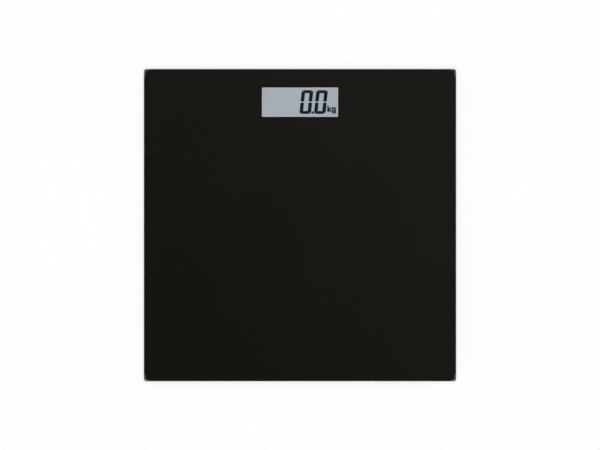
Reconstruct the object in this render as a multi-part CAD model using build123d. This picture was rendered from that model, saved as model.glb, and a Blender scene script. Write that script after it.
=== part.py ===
"""Digital bathroom scale: a black-backed glass platform bonded to a shallow moulded tray.

Four feet pass up through the tray floor, and each one presses on a strain-gauge load cell that a
holder under the glass keeps in place. A liquid-crystal display on a circuit board reads out through
a clear window in the glass. Two AAA cells sit behind a hinged door in the tray floor, and a small
button beside them changes the unit.

Millimetres. +Z is up and +Y points to the display edge. The origin is on the floor, under the centre
of the platform.
"""

import os
from math import cos, hypot, pi, sin

from build123d import *

# Glass platform
GLASS_SIDE = 300.0
GLASS_THICKNESS = 5.0
GLASS_CORNER_RADIUS = 2.6
GLASS_EDGE_CHAMFER = 0.8
PRINT_THICKNESS = 0.2
PRINT_SETBACK = 0.2
TAPE_THICKNESS = 0.8
TAPE_SETBACK = 0.4

# Display window in the print, measured from the glass edge
WINDOW_WIDTH = 73.0
WINDOW_HEIGHT = 28.5
WINDOW_TOP_MARGIN = 17.5

# Tray
FOOT_STANDOFF = 4.0
TRAY_HEIGHT = 14.0
TRAY_INSET = 6.0
TRAY_CORNER_RADIUS = 12.0
TRAY_WALL = 2.4
TRAY_FLOOR = 2.2
TRAY_EDGE_CHAMFER = 4.0
TRAY_EDGE_ROUND = 1.5
RIM_WIDTH = 7.0
RIM_RIB = 1.8
RIB_THICKNESS = 1.6
RIB_DROP = 2.0
LONG_RIB_X = 72.0
LONG_RIB_CLEAR = 22.0
CROSS_RIB_Y = (-48.0, 14.0)
COLLAR_WIDTH = 4.0
COLLAR_HEIGHT = 1.0
COLLAR_ROUND = 0.6
LABEL_WIDTH = 74.0
LABEL_HEIGHT = 40.0
LABEL_DEPTH = 0.4
LABEL_CORNER_RADIUS = 3.0
LABEL_Y = -60.0
GROOVE_WIDTH = 1.6
GROOVE_DEPTH = 0.6
GROOVE_RADIUS = 12.0
GROOVE_FOOT_GAP = 8.0
GROOVE_EDGE_GAP = 38.0
FLUTES = 9
FLUTE_LENGTH = 36.0
FLUTE_WIDTH = 3.2
FLUTE_PITCH = 13.0

# Feet
FOOT_INSET = 38.0
FOOT_DIAMETER = 40.0
FOOT_CLEARANCE = 0.5
FOOT_WALL = 2.0
FOOT_FLANGE_WIDTH = 3.0
FOOT_FLANGE_THICKNESS = 1.6
FOOT_REST_GAP = 0.2
FOOT_TRAVEL = 0.5
FOOT_ROUND = 0.8
FOOT_BOSS_DIAMETER = 12.0
PAD_DIAMETER = 34.0
PAD_THICKNESS = 2.0
PAD_PROUD = 1.2
PAD_GROOVE_WIDTH = 1.2
PAD_GROOVE_DEPTH = 0.5
PAD_GROOVES = 4
PAD_ROUND = 0.4
PAD_FIT = 0.1

# Load cells and their holders
CELL_SIDE = 34.0
CELL_THICKNESS = 2.5
CELL_CORNER_RADIUS = 4.0
CELL_FRAME_WIDTH = 5.0
CELL_TONGUE_WIDTH = 16.0
CELL_TONGUE_LENGTH = 16.0
CELL_NECK_WIDTH = 8.0
CELL_CLEARANCE = 0.5
GAUGE_LENGTH = 7.0
GAUGE_HEIGHT = 1.0
HOLDER_SIDE = 47.0
HOLDER_CORNER_RADIUS = 5.0
HOLDER_FIT = 0.2
HOLDER_LEDGE = 3.0
FLEX_ROOM = 3.0
HOLDER_SCREW_OFFSET = 20.0
HOLDER_SCREW_SEAT = 3.0
LEAD_NOTCH_WIDTH = 5.4
CORNER_PAD_SIDE = 30.0

# Screws
SCREW_DIAMETER = 2.6
SCREW_HEAD_DIAMETER = 5.0
SCREW_HEAD_HEIGHT = 1.6
SCREW_BITE = 5.0
SCREW_FIT = 0.1
SCREW_HOLE_FIT = 0.3
SCREW_DRIVE_WIDTH = 0.8
SCREW_DRIVE_DEPTH = 0.7
BOSS_DIAMETER = 7.0
BOSS_FIT = 0.3
SMALL_SCREW_DIAMETER = 1.8
SMALL_SCREW_HEAD_DIAMETER = 3.4
SMALL_SCREW_HEAD_HEIGHT = 1.1
SMALL_SCREW_BITE = 2.4

# Display stack
FRAME_MARGIN = 4.0
FRAME_WALL = 1.2
FRAME_LIP = 0.8
FRAME_OPENING_MARGIN = 1.0
LCD_FIT = 0.2
LCD_GLASS_THICKNESS = 1.1
LCD_LEDGE = 3.1
FILM_THICKNESS = 0.2
ZEBRA_HEIGHT = 3.5
ZEBRA_WIDTH = 2.0
ZEBRA_END_GAP = 2.0
GASKET_WIDTH = 3.2
FRAME_LUG_RADIUS = 3.0
FRAME_LUG_HEIGHT = 3.4
FRAME_LUG_SPREAD = 14.0

# Circuit board
BOARD_DEPTH = 52.0
BOARD_THICKNESS = 1.6
BOARD_SCREW_INSET = 4.0
BOARD_SCREW_FROM_FRAME = 4.5
CHIP_DIAMETER = 12.0
CHIP_HEIGHT = 1.6
CHIP_ROUND_SHARE = 0.7
COMPONENT_SIZES = (
    (3.2, 1.6, 1.2),
    (2.0, 1.2, 0.8),
    (2.0, 1.2, 0.8),
    (7.0, 3.0, 2.4),
    (3.2, 1.6, 1.2),
    (2.0, 1.2, 0.8),
)
COMPONENT_PITCH = 6.5
COMPONENT_CLEAR = 6.0

# Unit button and its switch
BUTTON_DIAMETER = 10.0
BUTTON_CLEARANCE = 0.3
BUTTON_SET_IN = 0.2
BUTTON_FLANGE_WIDTH = 2.0
BUTTON_FLANGE_THICKNESS = 0.8
BUTTON_TRAVEL = 0.4
BUTTON_DISH = 0.4
BUTTON_WELL_WIDTH = 3.0
BUTTON_WELL_DEPTH = 0.6
BUTTON_FROM_BOARD_EDGE = 8.0
SWITCH_SIDE = 6.0
SWITCH_GAP = 0.9
PLUNGER_DIAMETER = 3.4
PLUNGER_FIT = 0.1
PLUNGER_SEATED = 0.7

# Battery bay, cells and door
BAY_Y = 46.0
AAA_DIAMETER = 10.5
AAA_LENGTH = 44.5
AAA_NUB_DIAMETER = 3.8
AAA_NUB_LENGTH = 0.9
AAA_PITCH = 11.5
AAA_ROOM = 0.35
BAY_WALL = 1.8
BAY_END_WALL = 3.5
BAY_ROOF = 1.0
CONTACT_THICKNESS = 0.4
CONTACT_SIDE = 9.0
CONTACT_DIMPLE = 0.6
CONTACT_DIMPLE_DIAMETER = 3.4
CONTACT_TAIL_WIDTH = 3.0
CONTACT_TAIL_REACH = 1.8
CONTACT_FIT = 0.05
SPRING_LENGTH = 5.5
SPRING_BASE_DIAMETER = 7.4
SPRING_TIP_DIAMETER = 4.2
SPRING_WIRE = 0.6
SPRING_TURNS = 4
DOOR_THICKNESS = 1.8
DOOR_CLEARANCE = 0.3
DOOR_LEDGE = 2.8
DOOR_BARREL_RADIUS = 2.0
DOOR_BARREL_GAP = 0.3
DOOR_HINGE_WALL = 1.0
DOOR_CHEEK = 1.6
DOOR_CHEEK_GAP = 1.2
TRUNNION_DIAMETER = 2.0
TRUNNION_LENGTH = 2.2
TRUNNION_FIT = 0.05
LATCH_WIDTH = 8.0
LATCH_LEG = 1.2
LATCH_RISE = 2.8
LATCH_HOOK = 0.9
LATCH_HOOK_HEIGHT = 1.1
LATCH_NOSE_SHARE = 0.7
LATCH_PLAY = 0.4
SCOOP_RADIUS = 8.0
SCOOP_DEPTH = 1.2
GRIP_GROOVES = 3
GRIP_LENGTH = 16.0
GRIP_WIDTH = 1.0
GRIP_DEPTH = 0.4
GRIP_PITCH = 2.2

# Wiring
WIRE_DIAMETER = 1.0
WIRE_PITCH = 1.3
WIRE_LIFT = 0.05
WIRE_BEND_RADIUS = 4.0
WIRE_CHANNEL_WIDTH = 6.0
WIRE_CHANNEL_HEIGHT = 2.5
LEAD_LANDING = 3.0
LEAD_CLIMB = 9.0
LEAD_DROP = 9.0
LEAD_FROM_EDGE = 11.0
LEAD_SPACING = 6.5

# Heights, from the floor up
Z_TRAY = FOOT_STANDOFF
Z_FLOOR = Z_TRAY + TRAY_FLOOR
Z_RIM = Z_TRAY + TRAY_HEIGHT
Z_PRINT = Z_RIM + TAPE_THICKNESS
Z_GLASS = Z_PRINT + PRINT_THICKNESS
Z_FLANGE = Z_FLOOR + FOOT_REST_GAP
Z_CELL = Z_FLANGE + FOOT_FLANGE_THICKNESS + FOOT_TRAVEL + CELL_CLEARANCE
Z_CELL_TOP = Z_CELL + CELL_THICKNESS
Z_HOLDER_SEAT = Z_CELL + HOLDER_SCREW_SEAT
Z_LCD_TOP = Z_RIM - FRAME_LIP
Z_LCD_SEAM = Z_LCD_TOP - LCD_GLASS_THICKNESS
Z_LCD_BACK = Z_LCD_SEAM - LCD_GLASS_THICKNESS
Z_BOARD_TOP = Z_LCD_SEAM - ZEBRA_HEIGHT
Z_BOARD = Z_BOARD_TOP - BOARD_THICKNESS
Z_PLUNGER = Z_FLOOR + BUTTON_FLANGE_THICKNESS
Z_SWITCH = Z_PLUNGER + SWITCH_GAP
Z_AAA = Z_TRAY + DOOR_THICKNESS + AAA_ROOM + AAA_DIAMETER / 2
Z_BAY_CEILING = Z_AAA + AAA_DIAMETER / 2 + AAA_ROOM
Z_HINGE = Z_TRAY + DOOR_BARREL_RADIUS
Z_FLOOR_WIRE = Z_FLOOR + WIRE_LIFT + WIRE_DIAMETER / 2
Z_CELL_WIRE = Z_CELL_TOP + WIRE_LIFT + WIRE_DIAMETER / 2
Z_BOARD_WIRE = Z_BOARD_TOP + WIRE_LIFT + WIRE_DIAMETER / 2
Z_TAIL = Z_BOARD_WIRE - WIRE_DIAMETER / 2 - WIRE_LIFT

# Places in plan
TRAY_SIDE = GLASS_SIDE - 2 * TRAY_INSET
RIM_INNER_SIDE = TRAY_SIDE - 2 * RIM_WIDTH
RIM_INNER_RADIUS = max(TRAY_CORNER_RADIUS - RIM_WIDTH, RIM_RIB)
FOOT_XY = GLASS_SIDE / 2 - FOOT_INSET
DISPLAY_Y = GLASS_SIDE / 2 - WINDOW_TOP_MARGIN - WINDOW_HEIGHT / 2
FRAME_WIDTH = WINDOW_WIDTH + 2 * FRAME_MARGIN
FRAME_HEIGHT = WINDOW_HEIGHT + 2 * FRAME_MARGIN
LCD_WIDTH = FRAME_WIDTH - 2 * (FRAME_WALL + LCD_FIT)
LCD_HEIGHT = FRAME_HEIGHT - 2 * (FRAME_WALL + LCD_FIT)
OPENING_WIDTH = WINDOW_WIDTH + 2 * FRAME_OPENING_MARGIN
OPENING_HEIGHT = WINDOW_HEIGHT + 2 * FRAME_OPENING_MARGIN
BOARD_SCREW_X = FRAME_WIDTH / 2 + BOARD_SCREW_FROM_FRAME
BOARD_WIDTH = 2 * (BOARD_SCREW_X + BOARD_SCREW_INSET)
BOARD_TOP_Y = DISPLAY_Y + FRAME_HEIGHT / 2
BOARD_LOW_Y = BOARD_TOP_Y - BOARD_DEPTH
BUTTON_Y = BOARD_LOW_Y + BUTTON_FROM_BOARD_EDGE
BOARD_SCREWS = [
    (side * BOARD_SCREW_X, y)
    for side in (-1, 1)
    for y in (BOARD_LOW_Y + BOARD_SCREW_INSET, BOARD_TOP_Y - BOARD_SCREW_INSET)
]
FRAME_SCREWS = [
    (side * (FRAME_WIDTH / 2 + FRAME_LUG_RADIUS), DISPLAY_Y + level * FRAME_LUG_SPREAD / 2)
    for side in (-1, 1)
    for level in (-1, 1)
]
REAR_LEAD_Y = BOARD_LOW_Y + LEAD_FROM_EDGE
FRONT_LEAD_Y = REAR_LEAD_Y + LEAD_SPACING
CORNERS = {
    "front_left": (-1, 1),
    "front_right": (1, 1),
    "rear_left": (-1, -1),
    "rear_right": (1, -1),
}

# Battery bay, from its own centre
BAY_LENGTH = AAA_LENGTH + SPRING_LENGTH + CONTACT_DIMPLE + 2 * (CONTACT_THICKNESS + CONTACT_FIT)
BAY_WIDTH = AAA_PITCH + AAA_DIAMETER + 2 * AAA_ROOM
HINGE_Y = -(BAY_WIDTH / 2 + DOOR_HINGE_WALL + DOOR_BARREL_GAP + DOOR_BARREL_RADIUS)
DOOR_HALF_LENGTH = BAY_LENGTH / 2 + DOOR_LEDGE
DOOR_LATCH_Y = BAY_WIDTH / 2 + DOOR_LEDGE
BAY_HALF_LENGTH = BAY_LENGTH / 2 + BAY_END_WALL
BARREL_HALF_LENGTH = BAY_LENGTH / 2
LATCH_Y = BAY_WIDTH / 2 + LATCH_PLAY + LATCH_LEG / 2
CATCH_Y = LATCH_Y + LATCH_LEG / 2 + LATCH_PLAY
CONTACT_X = BAY_LENGTH / 2 - CONTACT_FIT - CONTACT_THICKNESS / 2
TAIL_END_X = BAY_HALF_LENGTH + CONTACT_TAIL_REACH


def slab(width, depth, height, radius, centre=(0, 0), z=0):
    """A flat plate with rounded upright edges, standing on height z."""
    return Pos(centre[0], centre[1], z) * extrude(RectangleRounded(width, depth, radius), height)


def block(width, depth, height, centre=(0, 0), z=0):
    """A plain rectangular block standing on height z."""
    return Pos(centre[0], centre[1], z + height / 2) * Box(width, depth, height)


def post(diameter, height, centre=(0, 0), z=0):
    """An upright cylinder standing on height z."""
    return Pos(centre[0], centre[1], z + height / 2) * Cylinder(diameter / 2, height)


def bar(diameter, length, centre):
    """A cylinder lying along X, centred on a point."""
    return Pos(*centre) * Rot(0, 90, 0) * Cylinder(diameter / 2, length)


def group(solids):
    """Several separate solids kept together in one node."""
    return Compound(children=list(solids))


def foot_centre(corner):
    """Plan position of a foot."""
    side_x, side_y = CORNERS[corner]
    return (side_x * FOOT_XY, side_y * FOOT_XY)


def lead_angle(corner):
    """Turn of a load cell about Z that points its gauge end along its lead."""
    side_x, side_y = CORNERS[corner]
    return 90 * side_x if side_y > 0 else 0


def holder_screws_at(corner):
    """Plan positions of the two screws that hold one load-cell holder."""
    side_x, side_y = CORNERS[corner]
    x, y = foot_centre(corner)
    across = -side_x * side_y * HOLDER_SCREW_OFFSET
    return [(x + HOLDER_SCREW_OFFSET, y + across), (x - HOLDER_SCREW_OFFSET, y - across)]


def screw(diameter, head_diameter, head_height, shank, place, z, up=True):
    """A pan-head screw with a cross recess: its head seats on height z, and its shank points away."""
    head = post(head_diameter, head_height)
    head = fillet(head.edges().group_by(Axis.Z)[-1], head_height / 2)
    for turn in (0, 90):
        cross = block(SCREW_DRIVE_WIDTH, head_diameter / 2, head_height, z=head_height - SCREW_DRIVE_DEPTH)
        head -= Rot(0, 0, turn) * cross
    body = head + post(diameter, shank, z=-shank)
    return Pos(place[0], place[1], z) * (body if up else Rot(180, 0, 0) * body)


# Platform


def glass_platform():
    """The toughened glass plate, with its edges ground all round."""
    plate = slab(GLASS_SIDE, GLASS_SIDE, GLASS_THICKNESS, GLASS_CORNER_RADIUS, z=Z_GLASS)
    rims = plate.edges().group_by(Axis.Z)
    return chamfer(rims[0] + rims[-1], GLASS_EDGE_CHAMFER)


def backing_print():
    """The black coat on the back of the glass, open at the display window."""
    setback = GLASS_EDGE_CHAMFER + PRINT_SETBACK
    side = GLASS_SIDE - 2 * setback
    coat = slab(side, side, PRINT_THICKNESS, GLASS_CORNER_RADIUS - setback / 2, z=Z_PRINT)
    return coat - block(WINDOW_WIDTH, WINDOW_HEIGHT, PRINT_THICKNESS, (0, DISPLAY_Y), Z_PRINT)


def glass_tape():
    """The foam tape that bonds the glass to the tray's rim."""
    outer = TRAY_SIDE - 2 * TAPE_SETBACK
    inner = RIM_INNER_SIDE + 2 * TAPE_SETBACK
    ring = slab(outer, outer, TAPE_THICKNESS, TRAY_CORNER_RADIUS - TAPE_SETBACK, z=Z_RIM)
    return ring - slab(inner, inner, TAPE_THICKNESS, RIM_INNER_RADIUS + TAPE_SETBACK, z=Z_RIM)


def corner_tape_pads():
    """The four foam pads that carry the load from the glass to the load-cell holders."""
    return group(
        slab(CORNER_PAD_SIDE, CORNER_PAD_SIDE, TAPE_THICKNESS, HOLDER_CORNER_RADIUS, foot_centre(c), Z_RIM)
        for c in CORNERS
    )


# Tray


def pan(side, radius, z_low, edge):
    """A square pan shape with rounded corners and a sloped lower edge, up to the rim."""
    shape = slab(side, side, Z_RIM - z_low, radius, z=z_low)
    return chamfer(shape.faces().sort_by(Axis.Z)[0].edges(), edge)


def tray_shell():
    """The tray's outer wall and floor, with the second rib inside its rim."""
    inner_side = TRAY_SIDE - 2 * TRAY_WALL
    shell = pan(TRAY_SIDE, TRAY_CORNER_RADIUS, Z_TRAY, TRAY_EDGE_CHAMFER)
    levels = shell.edges().filter_by(Axis.Z, reverse=True).group_by(Axis.Z)
    shell = fillet(levels[0] + levels[-2], TRAY_EDGE_ROUND)
    shell -= pan(inner_side, TRAY_CORNER_RADIUS - TRAY_WALL, Z_FLOOR, TRAY_EDGE_CHAMFER)
    rib_side = RIM_INNER_SIDE + 2 * RIM_RIB
    rib_height = Z_RIM - Z_FLOOR
    rib = slab(rib_side, rib_side, rib_height, RIM_INNER_RADIUS + RIM_RIB, z=Z_FLOOR)
    rib -= slab(RIM_INNER_SIDE, RIM_INNER_SIDE, rib_height, RIM_INNER_RADIUS, z=Z_FLOOR)
    return shell + rib


def tray_ribs():
    """The stiffening ribs on the tray floor, notched where the load-cell leads pass."""
    height = Z_RIM - RIB_DROP - Z_FLOOR
    reach = RIM_INNER_SIDE + RIM_RIB
    ribs = Part()
    for y in CROSS_RIB_Y:
        ribs += block(reach, RIB_THICKNESS, height, (0, y), Z_FLOOR)
    long_top = BOARD_LOW_Y - LONG_RIB_CLEAR
    long_low = -reach / 2
    for side in (-1, 1):
        middle = (side * LONG_RIB_X, (long_top + long_low) / 2)
        ribs += block(RIB_THICKNESS, long_top - long_low, height, middle, Z_FLOOR)
    for side in (-1, 1):
        for y in CROSS_RIB_Y:
            place = (side * FOOT_XY, y)
            ribs -= block(WIRE_CHANNEL_WIDTH, 2 * RIB_THICKNESS, WIRE_CHANNEL_HEIGHT, place, Z_FLOOR)
    return ribs


def tray_bosses():
    """The screw bosses for the load-cell holders and the circuit board."""
    bosses = Part()
    for corner in CORNERS:
        for place in holder_screws_at(corner):
            bosses += post(BOSS_DIAMETER, Z_HOLDER_SEAT - Z_FLOOR, place, Z_FLOOR)
    for place in BOARD_SCREWS:
        bosses += post(BOSS_DIAMETER, Z_BOARD - Z_FLOOR, place, Z_FLOOR)
    return bosses


def tray_screw_holes():
    """Pilot holes down the bosses."""
    holes = Part()
    size = SCREW_DIAMETER + 2 * SCREW_FIT
    for corner in CORNERS:
        for place in holder_screws_at(corner):
            holes += post(size, Z_HOLDER_SEAT - Z_FLOOR, place, Z_FLOOR)
    for place in BOARD_SCREWS:
        holes += post(size, Z_BOARD - Z_FLOOR, place, Z_FLOOR)
    return holes


def foot_openings():
    """The holes in the tray floor that the feet pass through."""
    holes = Part()
    for corner in CORNERS:
        holes += post(FOOT_DIAMETER + 2 * FOOT_CLEARANCE, 2 * Z_FLOOR, foot_centre(corner))
    return holes


def foot_collars():
    """The raised rings round the foot openings, under the tray."""
    collars = Part()
    outer = FOOT_DIAMETER + 2 * (FOOT_CLEARANCE + COLLAR_WIDTH)
    for corner in CORNERS:
        ring = post(outer, COLLAR_HEIGHT + TRAY_FLOOR, foot_centre(corner), Z_TRAY - COLLAR_HEIGHT)
        collars += fillet(ring.edges().group_by(Axis.Z)[0], COLLAR_ROUND)
    return collars


def bay_body():
    """The solid that the battery bay is hollowed from, with its hinge and latch sides."""
    width = BAY_WIDTH + 2 * BAY_WALL
    body = block(2 * BAY_HALF_LENGTH, width, Z_BAY_CEILING + BAY_ROOF - Z_TRAY, z=Z_TRAY)
    hinge_reach = -HINGE_Y + DOOR_BARREL_RADIUS + DOOR_BARREL_GAP + BAY_WALL
    hinge_top = Z_HINGE + DOOR_BARREL_RADIUS + DOOR_BARREL_GAP + BAY_WALL
    body += block(2 * BAY_HALF_LENGTH, hinge_reach, hinge_top - Z_TRAY, (0, -hinge_reach / 2), Z_TRAY)
    latch_reach = CATCH_Y + LATCH_HOOK + BAY_WALL
    latch_top = Z_TRAY + DOOR_THICKNESS + LATCH_RISE + LATCH_PLAY + BAY_WALL
    body += block(2 * BAY_HALF_LENGTH, latch_reach, latch_top - Z_TRAY, (0, latch_reach / 2), Z_TRAY)
    return body


def bay_hollow():
    """The space for the two cells, their contacts and the door, as a cutter."""
    hollow = block(BAY_LENGTH, BAY_WIDTH, Z_AAA - Z_TRAY, z=Z_TRAY)
    for side in (-1, 1):
        hollow += bar(2 * (Z_BAY_CEILING - Z_AAA), BAY_LENGTH, (0, side * AAA_PITCH / 2, Z_AAA))
    rebate_low = HINGE_Y + DOOR_CHEEK
    rebate_high = DOOR_LATCH_Y + DOOR_CLEARANCE
    hollow += block(
        2 * (DOOR_HALF_LENGTH + DOOR_CLEARANCE),
        rebate_high - rebate_low,
        DOOR_THICKNESS,
        (0, (rebate_low + rebate_high) / 2),
        Z_TRAY,
    )
    return hollow + hinge_trough() + latch_slot() + contact_slots()


def hinge_trough():
    """The round trough for the door's barrel, open below, with a bore at each end for its trunnions."""
    reach = DOOR_BARREL_RADIUS + DOOR_BARREL_GAP
    length = 2 * (BARREL_HALF_LENGTH + DOOR_CLEARANCE)
    trough = bar(2 * reach, length, (0, HINGE_Y, Z_HINGE))
    trough += block(length, 2 * reach, DOOR_BARREL_RADIUS, (0, HINGE_Y), Z_TRAY)
    bores = bar(
        TRUNNION_DIAMETER + 2 * TRUNNION_FIT,
        2 * (BARREL_HALF_LENGTH + TRUNNION_LENGTH + DOOR_CLEARANCE),
        (0, HINGE_Y, Z_HINGE),
    )
    return trough + bores


def latch_slot():
    """The slot for the door's latch leg and the pocket that its hook springs into."""
    low = Z_TRAY + DOOR_THICKNESS
    width = LATCH_WIDTH + 2 * LATCH_PLAY
    slot = block(width, LATCH_LEG + 2 * LATCH_PLAY, LATCH_RISE + LATCH_PLAY, (0, LATCH_Y), low)
    pocket_low = low + LATCH_RISE - LATCH_HOOK_HEIGHT - LATCH_PLAY / 2
    pocket_height = LATCH_HOOK_HEIGHT + 1.5 * LATCH_PLAY
    return slot + block(width, LATCH_HOOK, pocket_height, (0, CATCH_Y + LATCH_HOOK / 2), pocket_low)


def contact_slots():
    """The grooves for the contact plates at the bay's ends and the slots for their two tails."""
    depth = CONTACT_THICKNESS + 2 * CONTACT_FIT
    rise = CONTACT_SIDE / 2 + CONTACT_FIT
    far_width = AAA_PITCH + CONTACT_SIDE + 2 * CONTACT_FIT
    slots = block(depth, far_width, rise, (depth / 2 - BAY_LENGTH / 2, 0), Z_AAA)
    for side in (-1, 1):
        slots += block(depth, 2 * rise, rise, (BAY_LENGTH / 2 - depth / 2, side * AAA_PITCH / 2), Z_AAA)
    width = CONTACT_TAIL_WIDTH + 4 * CONTACT_FIT
    height = CONTACT_THICKNESS + 2 * CONTACT_FIT
    for side in (-1, 1):
        place = (BAY_LENGTH / 2 + BAY_END_WALL / 2, side * AAA_PITCH / 2)
        slots += block(BAY_END_WALL, width, height, place, Z_TAIL - CONTACT_THICKNESS - CONTACT_FIT)
    return slots


def finger_scoop():
    """The shallow round recess beside the door, where a fingertip reaches its edge."""
    scoop = post(2 * SCOOP_RADIUS, SCOOP_DEPTH, (0, DOOR_LATCH_Y + DOOR_CLEARANCE), Z_TRAY)
    return scoop & block(
        2 * SCOOP_RADIUS, SCOOP_RADIUS, SCOOP_DEPTH, (0, DOOR_LATCH_Y + SCOOP_RADIUS / 2), Z_TRAY
    )


def underside_groove():
    """The shallow groove that frames the middle of the underside, between the feet."""
    width = 2 * (FOOT_XY - FOOT_DIAMETER / 2 - FOOT_CLEARANCE - COLLAR_WIDTH - GROOVE_FOOT_GAP)
    depth = TRAY_SIDE - 2 * GROOVE_EDGE_GAP
    groove = slab(width, depth, GROOVE_DEPTH, GROOVE_RADIUS, z=Z_TRAY)
    inner = (width - 2 * GROOVE_WIDTH, depth - 2 * GROOVE_WIDTH)
    return groove - slab(*inner, GROOVE_DEPTH, GROOVE_RADIUS - GROOVE_WIDTH, z=Z_TRAY)


def underside_flutes():
    """The shallow flutes between the front and rear feet, along each side of the underside."""
    flute = extrude(SlotOverall(FLUTE_LENGTH, FLUTE_WIDTH), GROOVE_DEPTH)
    flutes = Part()
    for side in (-1, 1):
        for row in range(FLUTES):
            y = (row - (FLUTES - 1) / 2) * FLUTE_PITCH
            flutes += Pos(side * FOOT_XY, y, Z_TRAY) * flute
    return flutes


def button_opening():
    """The hole for the unit button and the shallow well round it."""
    hole = post(BUTTON_DIAMETER + 2 * BUTTON_CLEARANCE, TRAY_FLOOR, (0, BUTTON_Y), Z_TRAY)
    well = post(BUTTON_DIAMETER + 2 * BUTTON_WELL_WIDTH, BUTTON_WELL_DEPTH, (0, BUTTON_Y), Z_TRAY)
    return hole + well


def base_tray():
    """The moulded tray under the glass, in one piece with its ribs, bosses, collars and battery bay."""
    tray = tray_shell() + tray_ribs() + tray_bosses() + foot_collars()
    tray += Pos(0, BAY_Y, 0) * bay_body()
    tray -= Pos(0, BAY_Y, 0) * bay_hollow()
    tray -= Pos(0, BAY_Y, 0) * finger_scoop()
    tray -= foot_openings()
    tray -= tray_screw_holes()
    tray -= button_opening()
    tray -= underside_groove()
    tray -= underside_flutes()
    tray -= slab(LABEL_WIDTH, LABEL_HEIGHT, LABEL_DEPTH, LABEL_CORNER_RADIUS, (0, LABEL_Y), Z_TRAY)
    return tray


# Feet and load cells


def foot(corner):
    """A moulded foot: a cup whose flange rests inside the tray and whose boss bears on the load cell."""
    body = post(FOOT_DIAMETER, Z_FLANGE - PAD_PROUD, z=PAD_PROUD)
    body = fillet(body.edges().group_by(Axis.Z)[0], FOOT_ROUND)
    flange = FOOT_DIAMETER + 2 * FOOT_FLANGE_WIDTH
    body += post(flange, FOOT_FLANGE_THICKNESS, z=Z_FLANGE)
    hollow_low = PAD_THICKNESS + FOOT_WALL
    hollow = FOOT_DIAMETER - 2 * FOOT_WALL
    body -= post(hollow, Z_CELL - hollow_low, z=hollow_low)
    body += post(FOOT_BOSS_DIAMETER, Z_CELL - hollow_low, z=hollow_low)
    rib_height = Z_FLANGE - hollow_low
    for turn in (0, 90):
        rib = block(hollow, FOOT_WALL, rib_height, z=hollow_low)
        body += Rot(0, 0, turn) * rib
    body -= post(PAD_DIAMETER + 2 * PAD_FIT, PAD_THICKNESS)
    return Pos(*foot_centre(corner)) * body


def foot_pad(corner):
    """The rubber pad in the foot, with ring grooves in its tread."""
    pad = post(PAD_DIAMETER, PAD_THICKNESS)
    pad = fillet(pad.edges().group_by(Axis.Z)[0], PAD_ROUND)
    pitch = PAD_DIAMETER / 2 / (PAD_GROOVES + 1)
    for ring in range(1, PAD_GROOVES + 1):
        outer = 2 * ring * pitch + PAD_GROOVE_WIDTH
        groove = post(outer, PAD_GROOVE_DEPTH) - post(outer - 2 * PAD_GROOVE_WIDTH, PAD_GROOVE_DEPTH)
        pad -= groove
    return Pos(*foot_centre(corner)) * pad


def load_cell(corner):
    """The stamped steel load cell: a square frame whose tongue bends on a narrow neck."""
    plate = slab(CELL_SIDE, CELL_SIDE, CELL_THICKNESS, CELL_CORNER_RADIUS)
    inside = CELL_SIDE - 2 * CELL_FRAME_WIDTH
    window = block(inside, inside, CELL_THICKNESS)
    tongue = slab(CELL_TONGUE_WIDTH, CELL_TONGUE_LENGTH, CELL_THICKNESS, CELL_NECK_WIDTH / 4)
    neck = block(CELL_NECK_WIDTH, CELL_SIDE / 2, CELL_THICKNESS, (0, CELL_SIDE / 4))
    plate = plate - window + tongue + neck
    return Pos(*foot_centre(corner), Z_CELL) * Rot(0, 0, lead_angle(corner)) * plate


def strain_gauge(corner):
    """The strain gauge on the load cell's neck, under its silicone coat."""
    far_end = CELL_SIDE / 2 - CELL_FRAME_WIDTH
    place = (0, far_end - GAUGE_LENGTH / 2)
    coat = slab(CELL_NECK_WIDTH, GAUGE_LENGTH, GAUGE_HEIGHT, CELL_NECK_WIDTH / 4, place)
    coat = fillet(coat.edges().group_by(Axis.Z)[-1], GAUGE_HEIGHT / 2)
    return Pos(*foot_centre(corner), Z_CELL_TOP) * Rot(0, 0, lead_angle(corner)) * coat


def cell_holder(corner):
    """The block under the glass that keeps one load cell, screwed to the tray and open for its lead."""
    height = Z_RIM - Z_CELL
    body = slab(HOLDER_SIDE, HOLDER_SIDE, height, HOLDER_CORNER_RADIUS, z=Z_CELL)
    pocket = CELL_SIDE + 2 * HOLDER_FIT
    body -= slab(pocket, pocket, CELL_THICKNESS, CELL_CORNER_RADIUS, z=Z_CELL)
    room = CELL_SIDE - 2 * HOLDER_LEDGE
    body -= slab(room, room, FLEX_ROOM, CELL_CORNER_RADIUS, z=Z_CELL_TOP)
    notch = block(LEAD_NOTCH_WIDTH, HOLDER_SIDE / 2, FLEX_ROOM, (0, HOLDER_SIDE / 4), Z_CELL_TOP)
    body -= Rot(0, 0, lead_angle(corner)) * notch
    body = Pos(*foot_centre(corner)) * body
    for place in holder_screws_at(corner):
        head_z = Z_HOLDER_SEAT + HOLDER_SCREW_SEAT
        body -= post(BOSS_DIAMETER + 2 * BOSS_FIT, HOLDER_SCREW_SEAT, place, Z_CELL)
        body -= post(SCREW_DIAMETER + 2 * SCREW_HOLE_FIT, height, place, Z_CELL)
        body -= post(SCREW_HEAD_DIAMETER + 2 * SCREW_HOLE_FIT, Z_RIM - head_z, place, head_z)
    return body


def holder_screws():
    """The eight screws that hold the load-cell holders to the tray."""
    seat = Z_HOLDER_SEAT + HOLDER_SCREW_SEAT
    shank = HOLDER_SCREW_SEAT + SCREW_BITE
    return group(
        screw(SCREW_DIAMETER, SCREW_HEAD_DIAMETER, SCREW_HEAD_HEIGHT, shank, place, seat)
        for corner in CORNERS
        for place in holder_screws_at(corner)
    )


# Display and circuit board


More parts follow.
